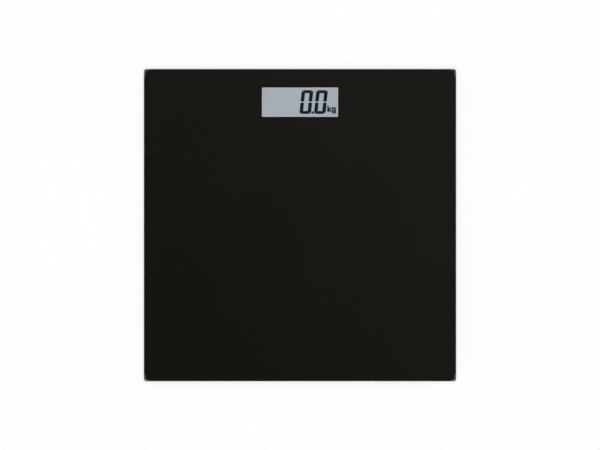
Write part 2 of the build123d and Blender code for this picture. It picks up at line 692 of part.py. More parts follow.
def lcd_gasket():
    """The foam frame that seals the display against the glass."""
    ring = block(FRAME_WIDTH, FRAME_HEIGHT, TAPE_THICKNESS, (0, DISPLAY_Y), Z_RIM)
    inner_width = FRAME_WIDTH - 2 * min(GASKET_WIDTH, FRAME_MARGIN)
    inner_height = FRAME_HEIGHT - 2 * min(GASKET_WIDTH, FRAME_MARGIN)
    return ring - block(inner_width, inner_height, TAPE_THICKNESS, (0, DISPLAY_Y), Z_RIM)


def lcd_frame():
    """The moulded frame that clamps the display to the circuit board."""
    place = (0, DISPLAY_Y)
    height = Z_RIM - Z_BOARD_TOP
    frame = block(FRAME_WIDTH, FRAME_HEIGHT, height, place, Z_BOARD_TOP)
    frame = fillet(frame.edges().filter_by(Axis.Z), FRAME_WALL)
    pocket_width = LCD_WIDTH + 2 * LCD_FIT
    pocket_height = LCD_HEIGHT + 2 * LCD_FIT
    frame -= block(pocket_width, pocket_height, height - FRAME_LIP, place, Z_BOARD_TOP)
    frame -= block(OPENING_WIDTH, OPENING_HEIGHT, height, place, Z_BOARD_TOP)
    for x, y in FRAME_SCREWS:
        toward = -FRAME_LUG_RADIUS / 2 if x > 0 else FRAME_LUG_RADIUS / 2
        lug = post(2 * FRAME_LUG_RADIUS, FRAME_LUG_HEIGHT, (x, y), Z_BOARD_TOP)
        lug += block(FRAME_LUG_RADIUS, 2 * FRAME_LUG_RADIUS, FRAME_LUG_HEIGHT, (x + toward, y), Z_BOARD_TOP)
        frame += lug
    for place in FRAME_SCREWS:
        frame -= post(SMALL_SCREW_DIAMETER + 2 * SCREW_FIT, SMALL_SCREW_BITE + SCREW_FIT, place, Z_BOARD_TOP)
    return frame


def lcd_front_glass():
    """The display's front glass, whose long edges overhang to the contact strips."""
    return block(LCD_WIDTH, LCD_HEIGHT, LCD_GLASS_THICKNESS, (0, DISPLAY_Y), Z_LCD_SEAM)


def lcd_rear_glass():
    """The display's rear glass."""
    return block(LCD_WIDTH, LCD_HEIGHT - 2 * LCD_LEDGE, LCD_GLASS_THICKNESS, (0, DISPLAY_Y), Z_LCD_BACK)


def lcd_polariser():
    """The polarising film on the front of the display, inside the frame's opening."""
    size = (OPENING_WIDTH - 2 * LCD_FIT, OPENING_HEIGHT - 2 * LCD_FIT)
    return block(*size, FILM_THICKNESS, (0, DISPLAY_Y), Z_LCD_TOP)


def lcd_reflector():
    """The grey reflecting film on the back of the display."""
    size = (LCD_WIDTH, LCD_HEIGHT - 2 * LCD_LEDGE)
    return block(*size, FILM_THICKNESS, (0, DISPLAY_Y), Z_LCD_BACK - FILM_THICKNESS)


def zebra_strip(side):
    """A conductive rubber strip that joins one long edge of the display to the board."""
    length = LCD_WIDTH - 2 * ZEBRA_END_GAP
    y = DISPLAY_Y + side * (LCD_HEIGHT / 2 - LCD_LEDGE / 2)
    return block(length, ZEBRA_WIDTH, ZEBRA_HEIGHT, (0, y), Z_BOARD_TOP)


def circuit_board():
    """The circuit board that carries the display, the controller and the unit switch."""
    middle = (0, (BOARD_LOW_Y + BOARD_TOP_Y) / 2)
    board = block(BOARD_WIDTH, BOARD_DEPTH, BOARD_THICKNESS, middle, Z_BOARD)
    for place in BOARD_SCREWS:
        board -= post(SCREW_DIAMETER + 2 * SCREW_HOLE_FIT, BOARD_THICKNESS, place, Z_BOARD)
    for place in FRAME_SCREWS:
        board -= post(SMALL_SCREW_DIAMETER + 2 * SCREW_HOLE_FIT, BOARD_THICKNESS, place, Z_BOARD)
    return board


def board_screws():
    """The four screws that hold the circuit board to the tray."""
    shank = BOARD_THICKNESS + min(SCREW_BITE, Z_BOARD - Z_FLOOR - SCREW_HOLE_FIT)
    return group(
        screw(SCREW_DIAMETER, SCREW_HEAD_DIAMETER, SCREW_HEAD_HEIGHT, shank, place, Z_BOARD_TOP)
        for place in BOARD_SCREWS
    )


def lcd_frame_screws():
    """The four small screws, driven from under the board, that hold the display frame."""
    shank = BOARD_THICKNESS + SMALL_SCREW_BITE
    return group(
        screw(
            SMALL_SCREW_DIAMETER,
            SMALL_SCREW_HEAD_DIAMETER,
            SMALL_SCREW_HEAD_HEIGHT,
            shank,
            place,
            Z_BOARD,
            up=False,
        )
        for place in FRAME_SCREWS
    )


def controller_chip():
    """The controller, under its round drop of black resin."""
    drop = post(CHIP_DIAMETER, CHIP_HEIGHT, (0, BUTTON_Y), Z_BOARD_TOP)
    return fillet(drop.edges().group_by(Axis.Z)[-1], CHIP_ROUND_SHARE * CHIP_HEIGHT)


def board_components():
    """The capacitors, resistors and crystal along the board's lower edge."""
    first = CHIP_DIAMETER / 2 + COMPONENT_CLEAR
    each_side = len(COMPONENT_SIZES) // 2
    places = [side * (first + n * COMPONENT_PITCH) for side in (-1, 1) for n in range(each_side)]
    return group(block(*size, (x, BUTTON_Y), Z_BOARD_TOP) for size, x in zip(COMPONENT_SIZES, places))


# Unit button


def unit_switch():
    """The body of the push switch under the board, bored for its plunger."""
    body = block(SWITCH_SIDE, SWITCH_SIDE, Z_BOARD - Z_SWITCH, (0, BUTTON_Y), Z_SWITCH)
    depth = PLUNGER_SEATED + BUTTON_TRAVEL + PLUNGER_FIT
    return body - post(PLUNGER_DIAMETER + 2 * PLUNGER_FIT, depth, (0, BUTTON_Y), Z_SWITCH)


def switch_plunger():
    """The push switch's plunger, which the unit button lifts."""
    return post(PLUNGER_DIAMETER, SWITCH_GAP + PLUNGER_SEATED, (0, BUTTON_Y), Z_PLUNGER)


def unit_button():
    """The unit button: a dished cap through the tray floor, kept in by its flange."""
    face = Z_TRAY + BUTTON_SET_IN
    cap = post(BUTTON_DIAMETER, Z_FLOOR - face, z=face)
    cap = fillet(cap.edges().group_by(Axis.Z)[0], BUTTON_DISH)
    bowl_radius = (BUTTON_DIAMETER**2 / 4 + BUTTON_DISH**2) / (2 * BUTTON_DISH)
    cap -= Pos(0, 0, face + BUTTON_DISH / 2 - bowl_radius) * Sphere(bowl_radius)
    flange = BUTTON_DIAMETER + 2 * BUTTON_FLANGE_WIDTH
    cap += post(flange, BUTTON_FLANGE_THICKNESS, z=Z_FLOOR)
    return Pos(0, BUTTON_Y, 0) * cap


# Battery bay


def battery(side):
    """An AAA cell. The upper one points to +X and the lower one to -X."""
    tip = BAY_LENGTH / 2 - CONTACT_FIT - CONTACT_THICKNESS - CONTACT_DIMPLE
    can_length = AAA_LENGTH - AAA_NUB_LENGTH
    can = bar(AAA_DIAMETER, can_length, (tip - AAA_NUB_LENGTH - can_length / 2, 0, 0))
    can = fillet(can.edges(), AAA_NUB_LENGTH / 2)
    can += bar(AAA_NUB_DIAMETER, AAA_NUB_LENGTH, (tip - AAA_NUB_LENGTH / 2, 0, 0))
    return Pos(0, BAY_Y + side * AAA_PITCH / 2, Z_AAA) * Rot(0, 0, 0 if side > 0 else 180) * can


def contact_plate(width, end):
    """A thin contact plate standing against one end wall of the bay."""
    low = Z_AAA - CONTACT_SIDE / 2
    return block(CONTACT_THICKNESS, width, CONTACT_SIDE, (end * CONTACT_X, 0), low)


def contact_dimple(end, side):
    """The raised spot of a contact plate that meets a cell's positive nub."""
    x = end * (CONTACT_X - CONTACT_THICKNESS / 2 - CONTACT_DIMPLE / 2)
    return bar(CONTACT_DIMPLE_DIAMETER, CONTACT_DIMPLE, (x, side * AAA_PITCH / 2, Z_AAA))


def contact_tail(side):
    """The flat tail of a contact, out through the bay's end wall to its wire."""
    length = TAIL_END_X - CONTACT_X
    place = (CONTACT_X + length / 2, side * AAA_PITCH / 2)
    return block(length, CONTACT_TAIL_WIDTH, CONTACT_THICKNESS, place, Z_TAIL - CONTACT_THICKNESS)


def contact_positive():
    """The contact at the upper cell's positive end."""
    plate = Pos(0, AAA_PITCH / 2, 0) * contact_plate(CONTACT_SIDE, 1)
    return Pos(0, BAY_Y, 0) * (plate + contact_dimple(1, 1) + contact_tail(1))


def contact_negative():
    """The contact behind the lower cell's spring."""
    plate = Pos(0, -AAA_PITCH / 2, 0) * contact_plate(CONTACT_SIDE, 1)
    return Pos(0, BAY_Y, 0) * (plate + contact_tail(-1))


def contact_bridge():
    """The contact that joins the two cells at the other end of the bay."""
    plate = contact_plate(AAA_PITCH + CONTACT_SIDE, -1)
    return Pos(0, BAY_Y, 0) * (plate + contact_dimple(-1, -1))


def coil_point(turn):
    """Centre and direction of a contact spring's wire, after a number of turns from its base."""
    share = turn / SPRING_TURNS
    base, tip = (SPRING_BASE_DIAMETER - SPRING_WIRE) / 2, (SPRING_TIP_DIAMETER - SPRING_WIRE) / 2
    radius = base + (tip - base) * share
    rise = SPRING_LENGTH - SPRING_WIRE - 2 * CONTACT_FIT
    x = SPRING_WIRE / 2 + CONTACT_FIT + rise * share
    angle = 2 * pi * turn
    shrink = (tip - base) / SPRING_TURNS / (2 * pi)
    along = Vector(
        rise / SPRING_TURNS / (2 * pi),
        shrink * cos(angle) - radius * sin(angle),
        shrink * sin(angle) + radius * cos(angle),
    )
    return Vector(x, radius * cos(angle), radius * sin(angle)), along.normalized()


def biarc(start, start_way, end, end_way):
    """Two arcs that leave one point and reach another along given directions."""
    span = end - start
    ways = start_way + end_way
    bend = 2 * (1 - start_way.dot(end_way))
    reach = (-span.dot(ways) + (span.dot(ways) ** 2 + bend * span.dot(span)) ** 0.5) / bend
    first, last = start + start_way * reach, end - end_way * reach
    middle = (first + last) * 0.5
    return [
        Edge.make_tangent_arc(start, start_way, middle),
        Edge.make_tangent_arc(middle, (last - first).normalized(), end),
    ]


def contact_spring():
    """A tapered coil spring along +X, standing on the plane x = 0."""
    quarters = [coil_point(step / 4) for step in range(4 * SPRING_TURNS + 1)]
    edges = []
    for (start, start_way), (end, end_way) in zip(quarters, quarters[1:]):
        edges += biarc(start, start_way, end, end_way)
    wire = Wire(edges)
    return sweep(Plane(quarters[0][0], z_dir=quarters[0][1]) * Circle(SPRING_WIRE / 2), path=wire)


def spring_gap():
    """The least gap between neighbouring turns of a contact spring, measured on points."""
    steps = 24
    points = [coil_point(n / steps)[0] for n in range(steps * SPRING_TURNS + 1)]
    gaps = [(a - b).length for i, a in enumerate(points) for b in points[i + steps // 2 :]]
    return min(gaps) - SPRING_WIRE


def contact_springs():
    """The two springs that press on the cells' flat ends."""
    seat = CONTACT_X - CONTACT_THICKNESS / 2
    upper = Pos(-seat, BAY_Y + AAA_PITCH / 2, Z_AAA) * contact_spring()
    lower = Pos(seat, BAY_Y - AAA_PITCH / 2, Z_AAA) * Rot(0, 0, 180) * contact_spring()
    return group([upper, lower])


def battery_door():
    """The battery door: a panel on a hinge barrel, with a hooked latch and grip grooves."""
    low = HINGE_Y + DOOR_CHEEK + DOOR_CHEEK_GAP
    middle = (0, (low + DOOR_LATCH_Y) / 2)
    panel = block(2 * DOOR_HALF_LENGTH, DOOR_LATCH_Y - low, DOOR_THICKNESS, middle, Z_TRAY)
    panel = fillet(panel.edges().filter_by(Axis.Z).group_by(Axis.Y)[-1], DOOR_THICKNESS / 2)
    root = block(2 * BARREL_HALF_LENGTH, low - HINGE_Y, DOOR_THICKNESS, (0, (low + HINGE_Y) / 2), Z_TRAY)
    door = panel + root + bar(2 * DOOR_BARREL_RADIUS, 2 * BARREL_HALF_LENGTH, (0, HINGE_Y, Z_HINGE))
    pin_length = 2 * (BARREL_HALF_LENGTH + TRUNNION_LENGTH)
    door += bar(TRUNNION_DIAMETER, pin_length, (0, HINGE_Y, Z_HINGE))
    inside = Z_TRAY + DOOR_THICKNESS
    door += block(LATCH_WIDTH, LATCH_LEG, LATCH_RISE, (0, LATCH_Y), inside)
    hook = LATCH_LEG + LATCH_HOOK
    hook_y = LATCH_Y - LATCH_LEG / 2 + hook / 2
    nose = block(LATCH_WIDTH, hook, LATCH_HOOK_HEIGHT, (0, hook_y), inside + LATCH_RISE - LATCH_HOOK_HEIGHT)
    lead_in = nose.edges().filter_by(Axis.X).group_by(Axis.Z)[-1].sort_by(Axis.Y)[-1]
    door += chamfer(lead_in, LATCH_NOSE_SHARE * LATCH_HOOK)
    for row in range(GRIP_GROOVES):
        y = DOOR_LATCH_Y - (row + 1) * GRIP_PITCH
        door -= block(GRIP_LENGTH, GRIP_WIDTH, GRIP_DEPTH, (0, y), Z_TRAY)
    return Pos(0, BAY_Y, 0) * door


# Wiring


def sideways(points, distance):
    """A route in plan moved to its left by a distance, keeping its heights."""
    moved = []
    for i, (x, y, z) in enumerate(points):
        before, after = points[max(i - 1, 0)], points[min(i + 1, len(points) - 1)]
        ways = []
        for (x0, y0, _), (x1, y1, _) in ((before, points[i]), (points[i], after)):
            run = hypot(x1 - x0, y1 - y0)
            if run > 0:
                ways.append(((x1 - x0) / run, (y1 - y0) / run))
        mean_x, mean_y = sum(w[0] for w in ways) / len(ways), sum(w[1] for w in ways) / len(ways)
        square = mean_x**2 + mean_y**2
        moved.append((x - mean_y / square * distance, y + mean_x / square * distance, z))
    return moved


def wire(points):
    """One insulated wire along a route of straight runs and round bends."""
    path = FilletPolyline(*points, radius=WIRE_BEND_RADIUS)
    start = Plane(path @ 0, z_dir=path % 0)
    return sweep(start * Circle(WIRE_DIAMETER / 2), path=path)


def front_route(side_x, x, y):
    """Route of a lead from a load cell beside the display to the board."""
    inward = -side_x
    leave = CELL_SIDE / 2 - CELL_FRAME_WIDTH + WIRE_LIFT
    clear = HOLDER_SIDE / 2 + LEAD_LANDING
    board_edge = side_x * BOARD_WIDTH / 2
    return [
        (x + inward * leave, y, Z_CELL_WIRE),
        (x + inward * clear, y, Z_CELL_WIRE),
        (x + inward * (clear + LEAD_DROP), y, Z_FLOOR_WIRE),
        (board_edge - inward * 2 * LEAD_CLIMB, FRONT_LEAD_Y, Z_FLOOR_WIRE),
        (board_edge - inward * LEAD_CLIMB, FRONT_LEAD_Y, Z_BOARD_WIRE),
        (board_edge + inward * LEAD_LANDING, FRONT_LEAD_Y, Z_BOARD_WIRE),
    ]


def rear_route(side_x, x, y):
    """Route of a lead from a rear load cell, up the side of the tray to the board."""
    inward = -side_x
    leave = CELL_SIDE / 2 - CELL_FRAME_WIDTH + WIRE_LIFT
    clear = HOLDER_SIDE / 2 + LEAD_LANDING
    board_edge = side_x * BOARD_WIDTH / 2
    front_holder = FOOT_XY - HOLDER_SIDE / 2
    return [
        (x, y + leave, Z_CELL_WIRE),
        (x, y + clear, Z_CELL_WIRE),
        (x, y + clear + LEAD_DROP, Z_FLOOR_WIRE),
        (x, front_holder - 3 * LEAD_DROP, Z_FLOOR_WIRE),
        (x + inward * 2 * LEAD_DROP, front_holder - LEAD_DROP, Z_FLOOR_WIRE),
        (board_edge - inward * 2 * LEAD_CLIMB, REAR_LEAD_Y, Z_FLOOR_WIRE),
        (board_edge - inward * LEAD_CLIMB, REAR_LEAD_Y, Z_BOARD_WIRE),
        (board_edge + inward * LEAD_LANDING, REAR_LEAD_Y, Z_BOARD_WIRE),
    ]


def cell_lead(corner):
    """The three wires of one load cell, side by side from its gauge to the board."""
    side_x, side_y = CORNERS[corner]
    x, y = foot_centre(corner)
    route = front_route(side_x, x, y) if side_y > 0 else rear_route(side_x, x, y)
    return group(wire(sideways(route, lane * WIRE_PITCH)) for lane in (-1, 0, 1))


def battery_lead():
    """The two wires from the battery contacts to the board."""
    wires = []
    for side, lane in ((1, 0), (-1, 1)):
        y = BAY_Y + side * AAA_PITCH / 2
        far = TAIL_END_X + LEAD_CLIMB + lane * 2 * WIRE_PITCH
        wires.append(
            wire(
                [
                    (TAIL_END_X - CONTACT_TAIL_REACH / 2, y, Z_BOARD_WIRE),
                    (far, y, Z_BOARD_WIRE),
                    (far, BOARD_LOW_Y - LEAD_CLIMB, Z_BOARD_WIRE),
                    (far - LEAD_LANDING, BOARD_LOW_Y + LEAD_LANDING, Z_BOARD_WIRE),
                ]
            )
        )
    return group(wires)


def nodes():
    """Every sub-part by its node name."""
    parts = {
        "glass_platform": glass_platform(),
        "backing_print": backing_print(),
        "glass_tape": glass_tape(),
        "corner_tape_pads": corner_tape_pads(),
        "base_tray": base_tray(),
        "holder_screws": holder_screws(),
        "lcd_gasket": lcd_gasket(),
        "lcd_frame": lcd_frame(),
        "lcd_polariser": lcd_polariser(),
        "lcd_front_glass": lcd_front_glass(),
        "lcd_rear_glass": lcd_rear_glass(),
        "lcd_reflector": lcd_reflector(),
        "zebra_strip_upper": zebra_strip(1),
        "zebra_strip_lower": zebra_strip(-1),
        "lcd_frame_screws": lcd_frame_screws(),
        "circuit_board": circuit_board(),
        "board_screws": board_screws(),
        "controller_chip": controller_chip(),
        "board_components": board_components(),
        "unit_switch": unit_switch(),
        "switch_plunger": switch_plunger(),
        "unit_button": unit_button(),
        "battery_upper": battery(1),
        "battery_lower": battery(-1),
        "contact_positive": contact_positive(),
        "contact_negative": contact_negative(),
        "contact_bridge": contact_bridge(),
        "contact_springs": contact_springs(),
        "battery_lead": battery_lead(),
        "battery_door": battery_door(),
    }
    for corner in CORNERS:
        parts[f"foot_{corner}"] = foot(corner)
        parts[f"foot_pad_{corner}"] = foot_pad(corner)
        parts[f"load_cell_{corner}"] = load_cell(corner)
        parts[f"strain_gauge_{corner}"] = strain_gauge(corner)
        parts[f"cell_holder_{corner}"] = cell_holder(corner)
        parts[f"cell_lead_{corner}"] = cell_lead(corner)
    return parts


def main():
    """Write one STEP file for each sub-part."""
    os.makedirs("parts", exist_ok=True)
    for name, shape in nodes().items():
        export_step(shape, f"parts/{name}.step")
    print(f"least gap between the turns of a contact spring: {spring_gap():.2f} mm")


main()
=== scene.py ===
"""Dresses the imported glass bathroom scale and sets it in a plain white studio.

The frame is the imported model's: +Z is up, +Y points to the display edge, and the origin is on the floor
under the centre of the platform. Sizes of the scale are in millimetres, as a maker writes them. Those of
the studio are in metres.
"""

from __future__ import annotations

import logging
import math
from dataclasses import dataclass, field
from enum import Enum
from typing import Any, Callable

import bmesh
import bpy
from mathutils import Matrix, Vector

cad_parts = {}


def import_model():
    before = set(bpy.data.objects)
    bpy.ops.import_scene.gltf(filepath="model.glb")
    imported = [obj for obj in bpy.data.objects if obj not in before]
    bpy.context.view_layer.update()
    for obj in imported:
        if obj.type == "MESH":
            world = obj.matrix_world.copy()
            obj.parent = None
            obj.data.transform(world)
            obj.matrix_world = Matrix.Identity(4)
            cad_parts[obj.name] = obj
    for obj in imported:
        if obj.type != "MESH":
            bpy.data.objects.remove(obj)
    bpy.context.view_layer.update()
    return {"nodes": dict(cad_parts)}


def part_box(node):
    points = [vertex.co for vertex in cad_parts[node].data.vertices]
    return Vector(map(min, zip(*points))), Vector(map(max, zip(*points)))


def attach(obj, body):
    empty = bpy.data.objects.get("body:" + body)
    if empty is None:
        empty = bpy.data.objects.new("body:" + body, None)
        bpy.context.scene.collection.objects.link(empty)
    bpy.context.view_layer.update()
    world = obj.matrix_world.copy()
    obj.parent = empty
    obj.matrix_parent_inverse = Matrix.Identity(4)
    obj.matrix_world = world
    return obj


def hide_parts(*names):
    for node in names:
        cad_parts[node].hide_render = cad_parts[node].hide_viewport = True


LOG = logging.getLogger("bathroom_scale")
MM = 0.001
ORIGIN = (0.0, 0.0, 0.0)
ALONG_X = (1.0, 0.0, 0.0)
ALONG_Y = (0.0, 1.0, 0.0)
FACE_DOWN = (0.0, 180.0, 0.0)

# Sizes that several parts share
WINDOW = (73.2, 28.2)
WINDOW_Y = 118.24
CORNER_RADIUS = 2.6

# Light and tone
WHITE_LIGHT = (1.0, 1.0, 1.0, 1.0)
NOISE_RANGE = (0.3, 0.7)

# Colours as they look on a screen
BLACK = (0.0, 0.0, 0.0)
FULL_LEVEL = 255.0
TOE_END, TOE_SLOPE = 0.04045, 12.92
BEND, GAMMA = 0.055, 2.4

Pair = tuple[float, float]
Triple = tuple[float, float, float]
Colour = tuple[float, float, float, float]
Piece = bpy.types.Object
Node = bpy.types.Node
Socket = bpy.types.NodeSocket


class Body(Enum):
    """The moving bodies that a new piece can ride on."""

    SCALE = "scale"
    DOOR = "battery_door"


class Corner(Enum):
    """The four corners that carry a foot."""

    FRONT_LEFT = "front_left"
    FRONT_RIGHT = "front_right"
    REAR_LEFT = "rear_left"
    REAR_RIGHT = "rear_right"


class Element(Enum):
    """What a mesh is made of, as its selection modes name it."""

    POINT = "VERT"
    EDGE = "EDGE"
    FACE = "FACE"


class Op(Enum):
    """What a Math node does with its values."""

    PLUS = "ADD"
    LESS = "SUBTRACT"
    TIMES = "MULTIPLY"
    OVER = "DIVIDE"
    POWER = "POWER"
    SIZE = "ABSOLUTE"
    MOST = "MAXIMUM"
    LEAST = "MINIMUM"
    ABOVE = "GREATER_THAN"
    BELOW = "LESS_THAN"


def shade(red: float, green: float, blue: float) -> Colour:
    """Turns a colour as it looks on a screen into the linear values that shaders take.

    Args:
        red: Red on the screen, from 0 to 255.
        green: Green on the screen, from 0 to 255.
        blue: Blue on the screen, from 0 to 255.

    Returns:
        The linear colour with full alpha.
    """

    def linear(value: float) -> float:
        """One channel of the screen colour in linear light."""
        share = value / FULL_LEVEL
        return share / TOE_SLOPE if share <= TOE_END else ((share + BEND) / (1.0 + BEND)) ** GAMMA

    return (linear(red), linear(green), linear(blue), 1.0)


# Modelling


def clear_bench() -> None:
    """Leaves edit mode and deselects everything."""
    if bpy.context.object is not None and bpy.context.object.mode != "OBJECT":
        bpy.ops.object.mode_set(mode="OBJECT")
    bpy.ops.object.select_all(action="DESELECT")


class Draft:
    """A new piece while it is modelled: it begins flat about the origin and stays open for editing."""

    WELD = 1e-7
    FLAT = math.radians(1.0)
    ROUND = 0.5
    LETTER_STEPS = 4

    def __init__(self, name: str) -> None:
        """Takes the newest object in hand, opens it and selects all of it.

        Args:
            name: The name that it gets.
        """
        self.piece = bpy.context.object
        self.piece.name = self.piece.data.name = name
        bpy.ops.object.mode_set(mode="EDIT")
        self.take_all()

    @classmethod
    def sheet(cls, name: str, width: float, depth: float) -> Draft:
        """Begins with a flat sheet.

        Args:
            name: Name of the piece.
            width: Size along X in millimetres.
            depth: Size along Y in millimetres.

        Returns:
            The draft.
        """
        clear_bench()
        bpy.ops.mesh.primitive_plane_add(size=1.0, location=ORIGIN)
        draft = cls(name)
        bpy.ops.transform.resize(value=(width * MM, depth * MM, 1.0), center_override=ORIGIN)
        return draft

    @classmethod
    def words(cls, name: str, text: str, size: Pair) -> Draft:
        """Begins with words that fit a box.

        Args:
            name: Name of the piece.
            text: The words.
            size: Width and height of the box in millimetres.

        Returns:
            The draft.
        """
        width, height = (side * MM for side in size)
        clear_bench()
        bpy.ops.object.text_add(location=ORIGIN)
        letters = bpy.context.object.data
        letters.body, letters.size, letters.resolution_u = text, height, cls.LETTER_STEPS
        bpy.ops.object.convert(target="MESH")
        xs, ys, _ = zip(*(vertex.co for vertex in bpy.context.object.data.vertices))
        middle = Vector(((min(xs) + max(xs)) / 2, (min(ys) + max(ys)) / 2, 0.0))
        fit = (width / (max(xs) - min(xs)), height / (max(ys) - min(ys)), 1.0)
        draft = cls(name)
        bpy.ops.mesh.remove_doubles(threshold=cls.WELD)
        bpy.ops.transform.translate(value=-middle)
        bpy.ops.transform.resize(value=fit, center_override=ORIGIN)
        draft.merge_flat()
        return draft

    @staticmethod
    def take_all() -> None:
        """Selects the whole piece."""
        bpy.ops.mesh.select_mode(type=Element.POINT.value)
        bpy.ops.mesh.select_all(action="SELECT")

    def take(self, kind: Element, wanted: Callable[[Any], bool]) -> None:
        """Selects some points, edges or faces.

        Args:
            kind: What is selected.
            wanted: Says whether one of them is selected.
        """
        bpy.ops.mesh.select_mode(type=kind.value)
        bpy.ops.mesh.select_all(action="DESELECT")
        mesh = bmesh.from_edit_mesh(self.piece.data)
        choice = {Element.POINT: mesh.verts, Element.EDGE: mesh.edges, Element.FACE: mesh.faces}
        for element in choice[kind]:
            if wanted(element):
                element.select_set(True)
        bmesh.update_edit_mesh(self.piece.data)

    def round_corners(self, radius: float, segments: int) -> None:
        """Rounds the selected corners, with a radius in millimetres, and selects the whole piece."""
        bpy.ops.mesh.bevel(offset=radius * MM, segments=segments, profile=self.ROUND, affect="VERTICES")
        self.take_all()

    def cut(self, place: Triple, normal: Triple, part: bool = False) -> None:
        """Scores the piece along a plane.

        Args:
            place: A point of the plane, in millimetres.
            normal: The plane's normal.
            part: Whether what lies on the normal's side is cut away.
        """
        self.take_all()
        bpy.ops.mesh.bisect(plane_co=Vector(place) * MM, plane_no=normal, use_fill=False, clear_outer=part)
        self.take_all()

    def drop(self, wanted: Callable[[Vector], bool]) -> None:
        """Deletes some faces.

        Args:
            wanted: Says, from a face's centre in millimetres, whether the face goes.
        """
        self.take(Element.FACE, lambda face: wanted(face.calc_center_median() / MM))
        bpy.ops.mesh.delete(type="FACE")
        self.take_all()

    def merge_flat(self) -> None:
        """Merges the faces that lie flat side by side."""
        bpy.ops.mesh.dissolve_limited(angle_limit=self.FLAT)
        self.take_all()

    def lean(self, angle: float) -> None:
        """Leans the piece along X.

        Args:
            angle: The angle from upright, in degrees.
        """
        slope = math.tan(math.radians(angle))
        mesh = bmesh.from_edit_mesh(self.piece.data)
        mesh.transform(Matrix(((1, slope, 0, 0), (0, 1, 0, 0), (0, 0, 1, 0), (0, 0, 0, 1))))
        bmesh.update_edit_mesh(self.piece.data)

    @staticmethod
    def pull(rise: float, spread: float = 1.0) -> None:
        """Extrudes the selected faces along Z and spreads them.

        Args:
            rise: How far the faces go up, in millimetres.
            spread: Factor on their width and depth, about the Z axis.
        """
        bpy.ops.mesh.extrude_region_move(TRANSFORM_OT_translate={"value": (0.0, 0.0, rise * MM)})
        if spread != 1.0:
            bpy.ops.transform.resize(value=(spread, spread, 1.0), center_override=ORIGIN)

    def wall_opening(self) -> None:
        """Bridges the two open rims that a cut window leaves."""
        self.take(Element.EDGE, lambda edge: edge.is_boundary)
        bpy.ops.mesh.bridge_edge_loops()

    def settle(self, place: Triple, turn: Triple = ORIGIN) -> Piece:
        """Merges doubles, turns the faces outwards, and sets the piece down with its place in its mesh.

        Args:
            place: Where it goes, in millimetres.
            turn: Turns about X, Y and Z in degrees.

        Returns:
            The finished piece.
        """
        self.take_all()
        bpy.ops.mesh.remove_doubles(threshold=self.WELD)
        bpy.ops.mesh.normals_make_consistent(inside=False)
        clear_bench()
        self.piece.select_set(True)
        bpy.context.view_layer.objects.active = self.piece
        self.piece.location = Vector(place) * MM
        self.piece.rotation_euler = [math.radians(angle) for angle in turn]
        bpy.ops.object.transform_apply(location=True, rotation=True, scale=True)
        return self.piece


# Shader trees


